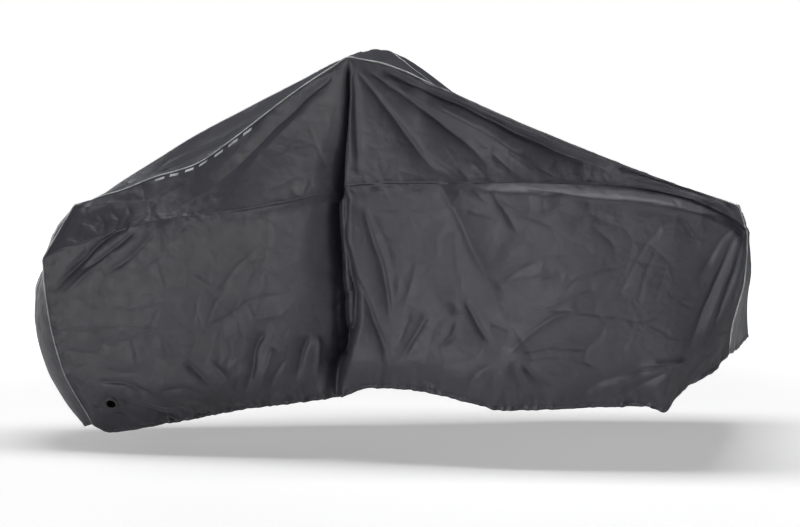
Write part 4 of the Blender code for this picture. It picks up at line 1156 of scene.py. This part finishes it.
def stage_material(name, white, glow, far_glow=1.0):
    material, tree, shader, place = new_material(
        name, Roughness=0.9, Specular_IOR_Level=0.1, Emission_Color=WHITE
    )
    middle = add_node(tree, "ShaderNodeVectorMath", {"operation": "LENGTH"}, _0=place)
    pool = map_range(
        tree, middle.outputs["Value"], SHADOW_POOL, (glow, far_glow),
        {"interpolation_type": "SMOOTHSTEP"},
    )
    tree.links.new(pool, shader.inputs["Emission Strength"])
    stops = ((0, [PAPER_SHADE * white] * 3), (1, [white] * 3))
    paint(tree, shader, fine_noise(tree, place, PAPER_TONE), stops)
    return material


# The stage


def add_stage():
    """A white floor that the cloth's gloss sees, a white dome behind it, and a black card."""
    turn = 2 * np.pi * np.arange(STAGE_SIDES) / STAGE_SIDES
    rise = np.radians(np.linspace(0, DOME_TOP, DOME_ROWS))[:, None]
    level = (0, 0, GROUND)
    dome = [np.cos(rise) * np.cos(turn), np.cos(rise) * np.sin(turn), np.sin(rise) + 0 * turn]
    dome = STAGE_REACH * np.stack(dome, axis=-1).reshape(-1, 3) + level
    dome_faces = grid_faces(DOME_ROWS, STAGE_SIDES, close=True).tolist()
    (x0, x1), y, (z0, z1) = FLAG
    card = [(x0, y, z0), (x1, y, z0), (x1, y, z1), (x0, y, z1)]

    paper = stage_material("studio_paper", FLOOR_WHITE, FLOOR_GLOW)
    white = stage_material("studio_white", 0.0, 1.0)
    black = stage_material("studio_black", 0.0, 0.0, 0.0)
    floor = new_object("studio_floor", dome[:STAGE_SIDES], [tuple(range(STAGE_SIDES))], paper)
    dome = new_object("studio_dome", dome, dome_faces, white)
    flag = new_object("studio_flag", card, [(0, 1, 2, 3)], black)
    for piece in (floor, dome, flag):
        piece.visible_diffuse = False
    dome.visible_glossy = dome.visible_shadow = False
    flag.visible_camera = flag.visible_shadow = False


def add_lights():
    world = bpy.data.worlds.new("studio")
    world.use_nodes = True
    world.node_tree.nodes["Background"].inputs["Color"].default_value = WHITE
    world.node_tree.nodes["Background"].inputs["Strength"].default_value = FILL_STRENGTH
    bpy.context.scene.world = world
    bpy.context.scene.view_settings.view_transform = "Standard"
    for number, (place, target, size, power, spread) in enumerate(LIGHTS):
        data = bpy.data.lights.new(f"softbox_{number}", "AREA")
        data.shape = "RECTANGLE"
        (data.size, data.size_y), data.energy = size, power
        data.spread = np.radians(spread)
        add_aimed(data, Vector(place), Vector(target) - Vector(place))


def add_camera():
    turn, rise = np.radians(CAMERA_TURN), np.radians(CAMERA_RISE)
    back = Vector((np.sin(turn) * np.cos(rise), -np.cos(turn) * np.cos(rise), np.sin(rise)))
    data = bpy.data.cameras.new("camera")
    data.lens, data.sensor_width = CAMERA_LENS, CAMERA_SENSOR
    camera = add_aimed(data, Vector(CAMERA_AIM) + CAMERA_DISTANCE * back, -back)
    bpy.context.scene.camera = camera


def add_aimed(data, place, way):
    thing = bpy.data.objects.new(data.name, data)
    thing.location = place
    thing.rotation_euler = way.to_track_quat("-Z", "Y").to_euler()
    bpy.context.scene.collection.objects.link(thing)
    return thing


# The cover


def dress(piece, slot, *nodes):
    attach(piece, "root")
    if nodes:
        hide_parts(*nodes)


def make_side(name, rails, folds, outward, seed, cell, materials):
    """One side's two cloths, piping, eyelet and stitching; gives its upper grid and piping line."""
    cloth = materials["cloth"]
    eyelet = eyelet_place(f"{name}_eyelet")
    lower, upper, line = side_grids(rails, folds, outward, seed, eyelet, cell)
    skirt = with_hem(ends_moved_in(lower, "rear", "front"), outward)
    piece = sheet(f"{name}_lower_cloth", skirt, cloth, outward, (*eyelet, CLOTH_HOLE))
    dress(piece, "cover_cloth", f"{name}_lower_panel", f"{name}_eyelet_strip")
    top = ends_moved_in(upper, "last", "rear", "front")
    piece = sheet(f"{name}_upper_cloth", top, cloth, outward)
    dress(piece, "cover_cloth", f"{name}_upper_panel")
    trim = piping(f"{name}_cord", line[0], materials["piping"])
    dress(trim, "reflective_piping", f"{name}_piping")
    ring = lathe(f"{name}_grommet", eyelet_section(), EYELET_STEPS, *eyelet, materials["eyelet"])
    dress(ring, "eyelet_plastic", f"{name}_eyelet")
    sewn = (  # grid, distance, axis, from its end
        (lower, HEM_STITCH, 0, False),
        (upper, SEAM_STITCH, 0, False),
        (upper, PIPING_STITCH, 0, True),
        (lower, PIPING_STITCH, 1, False),
        (lower, PIPING_STITCH, 1, True),
    )
    dress(stitches(f"{name}_stitches", sewn, outward, materials["thread"]), "cover_cloth")
    return upper, line


def make_gusset(near_line, far_line, materials):
    grid = gusset_grid(near_line, far_line, GUSSET_SEED)
    both = ends_moved_in(hemmed_both_ends(grid), "first", "last")
    piece = sheet("gusset_cloth", both, materials["cloth"], -1)
    dress(piece, "cover_cloth", "centre_gusset")
    sewn = [
        (grid, distance, axis, from_end)
        for distance, axis in ((PIPING_STITCH, 0), (HEM_STITCH, 1))
        for from_end in (False, True)
    ]
    dress(stitches("gusset_stitches", sewn, -1, materials["thread"]), "cover_cloth")


def make_dashes(upper, material):
    """Generic reflective dashes printed under the near piping, behind the handlebar."""
    lifted = upper + DASH_LIFT * outward_normals(upper, -1)
    rows = np.array([at_height(lifted, height, from_end=True) for height in DASH_ROWS])
    points, faces = [], []
    for start in DASH_START + DASH_PITCH * np.arange(DASH_COUNT):
        cols = np.flatnonzero((rows[0, :, 0] >= start) & (rows[0, :, 0] <= start + DASH_LENGTH))
        patch = rows[:, cols]
        faces.extend((grid_faces(*patch.shape[:2], flip=True) + len(points)).tolist())
        points.extend(patch.reshape(-1, 3))
    dress(new_object("reflective_dashes", points, faces, material), "reflective_piping")


def main():
    materials = {
        "cloth": cloth_material(),
        "piping": piping_material(),
        "thread": thread_material(),
        "eyelet": eyelet_material(),
    }
    upper, near_line = make_side("near", NEAR, NEAR_FOLDS, -1, NEAR_SEED, NEAR_CELL, materials)
    _, far_line = make_side("far", FAR, FAR_FOLDS, 1, FAR_SEED, CELL, materials)
    make_gusset(near_line, far_line, materials)
    make_dashes(upper, materials["piping"])
    add_stage()
    add_lights()
    add_camera()


main()
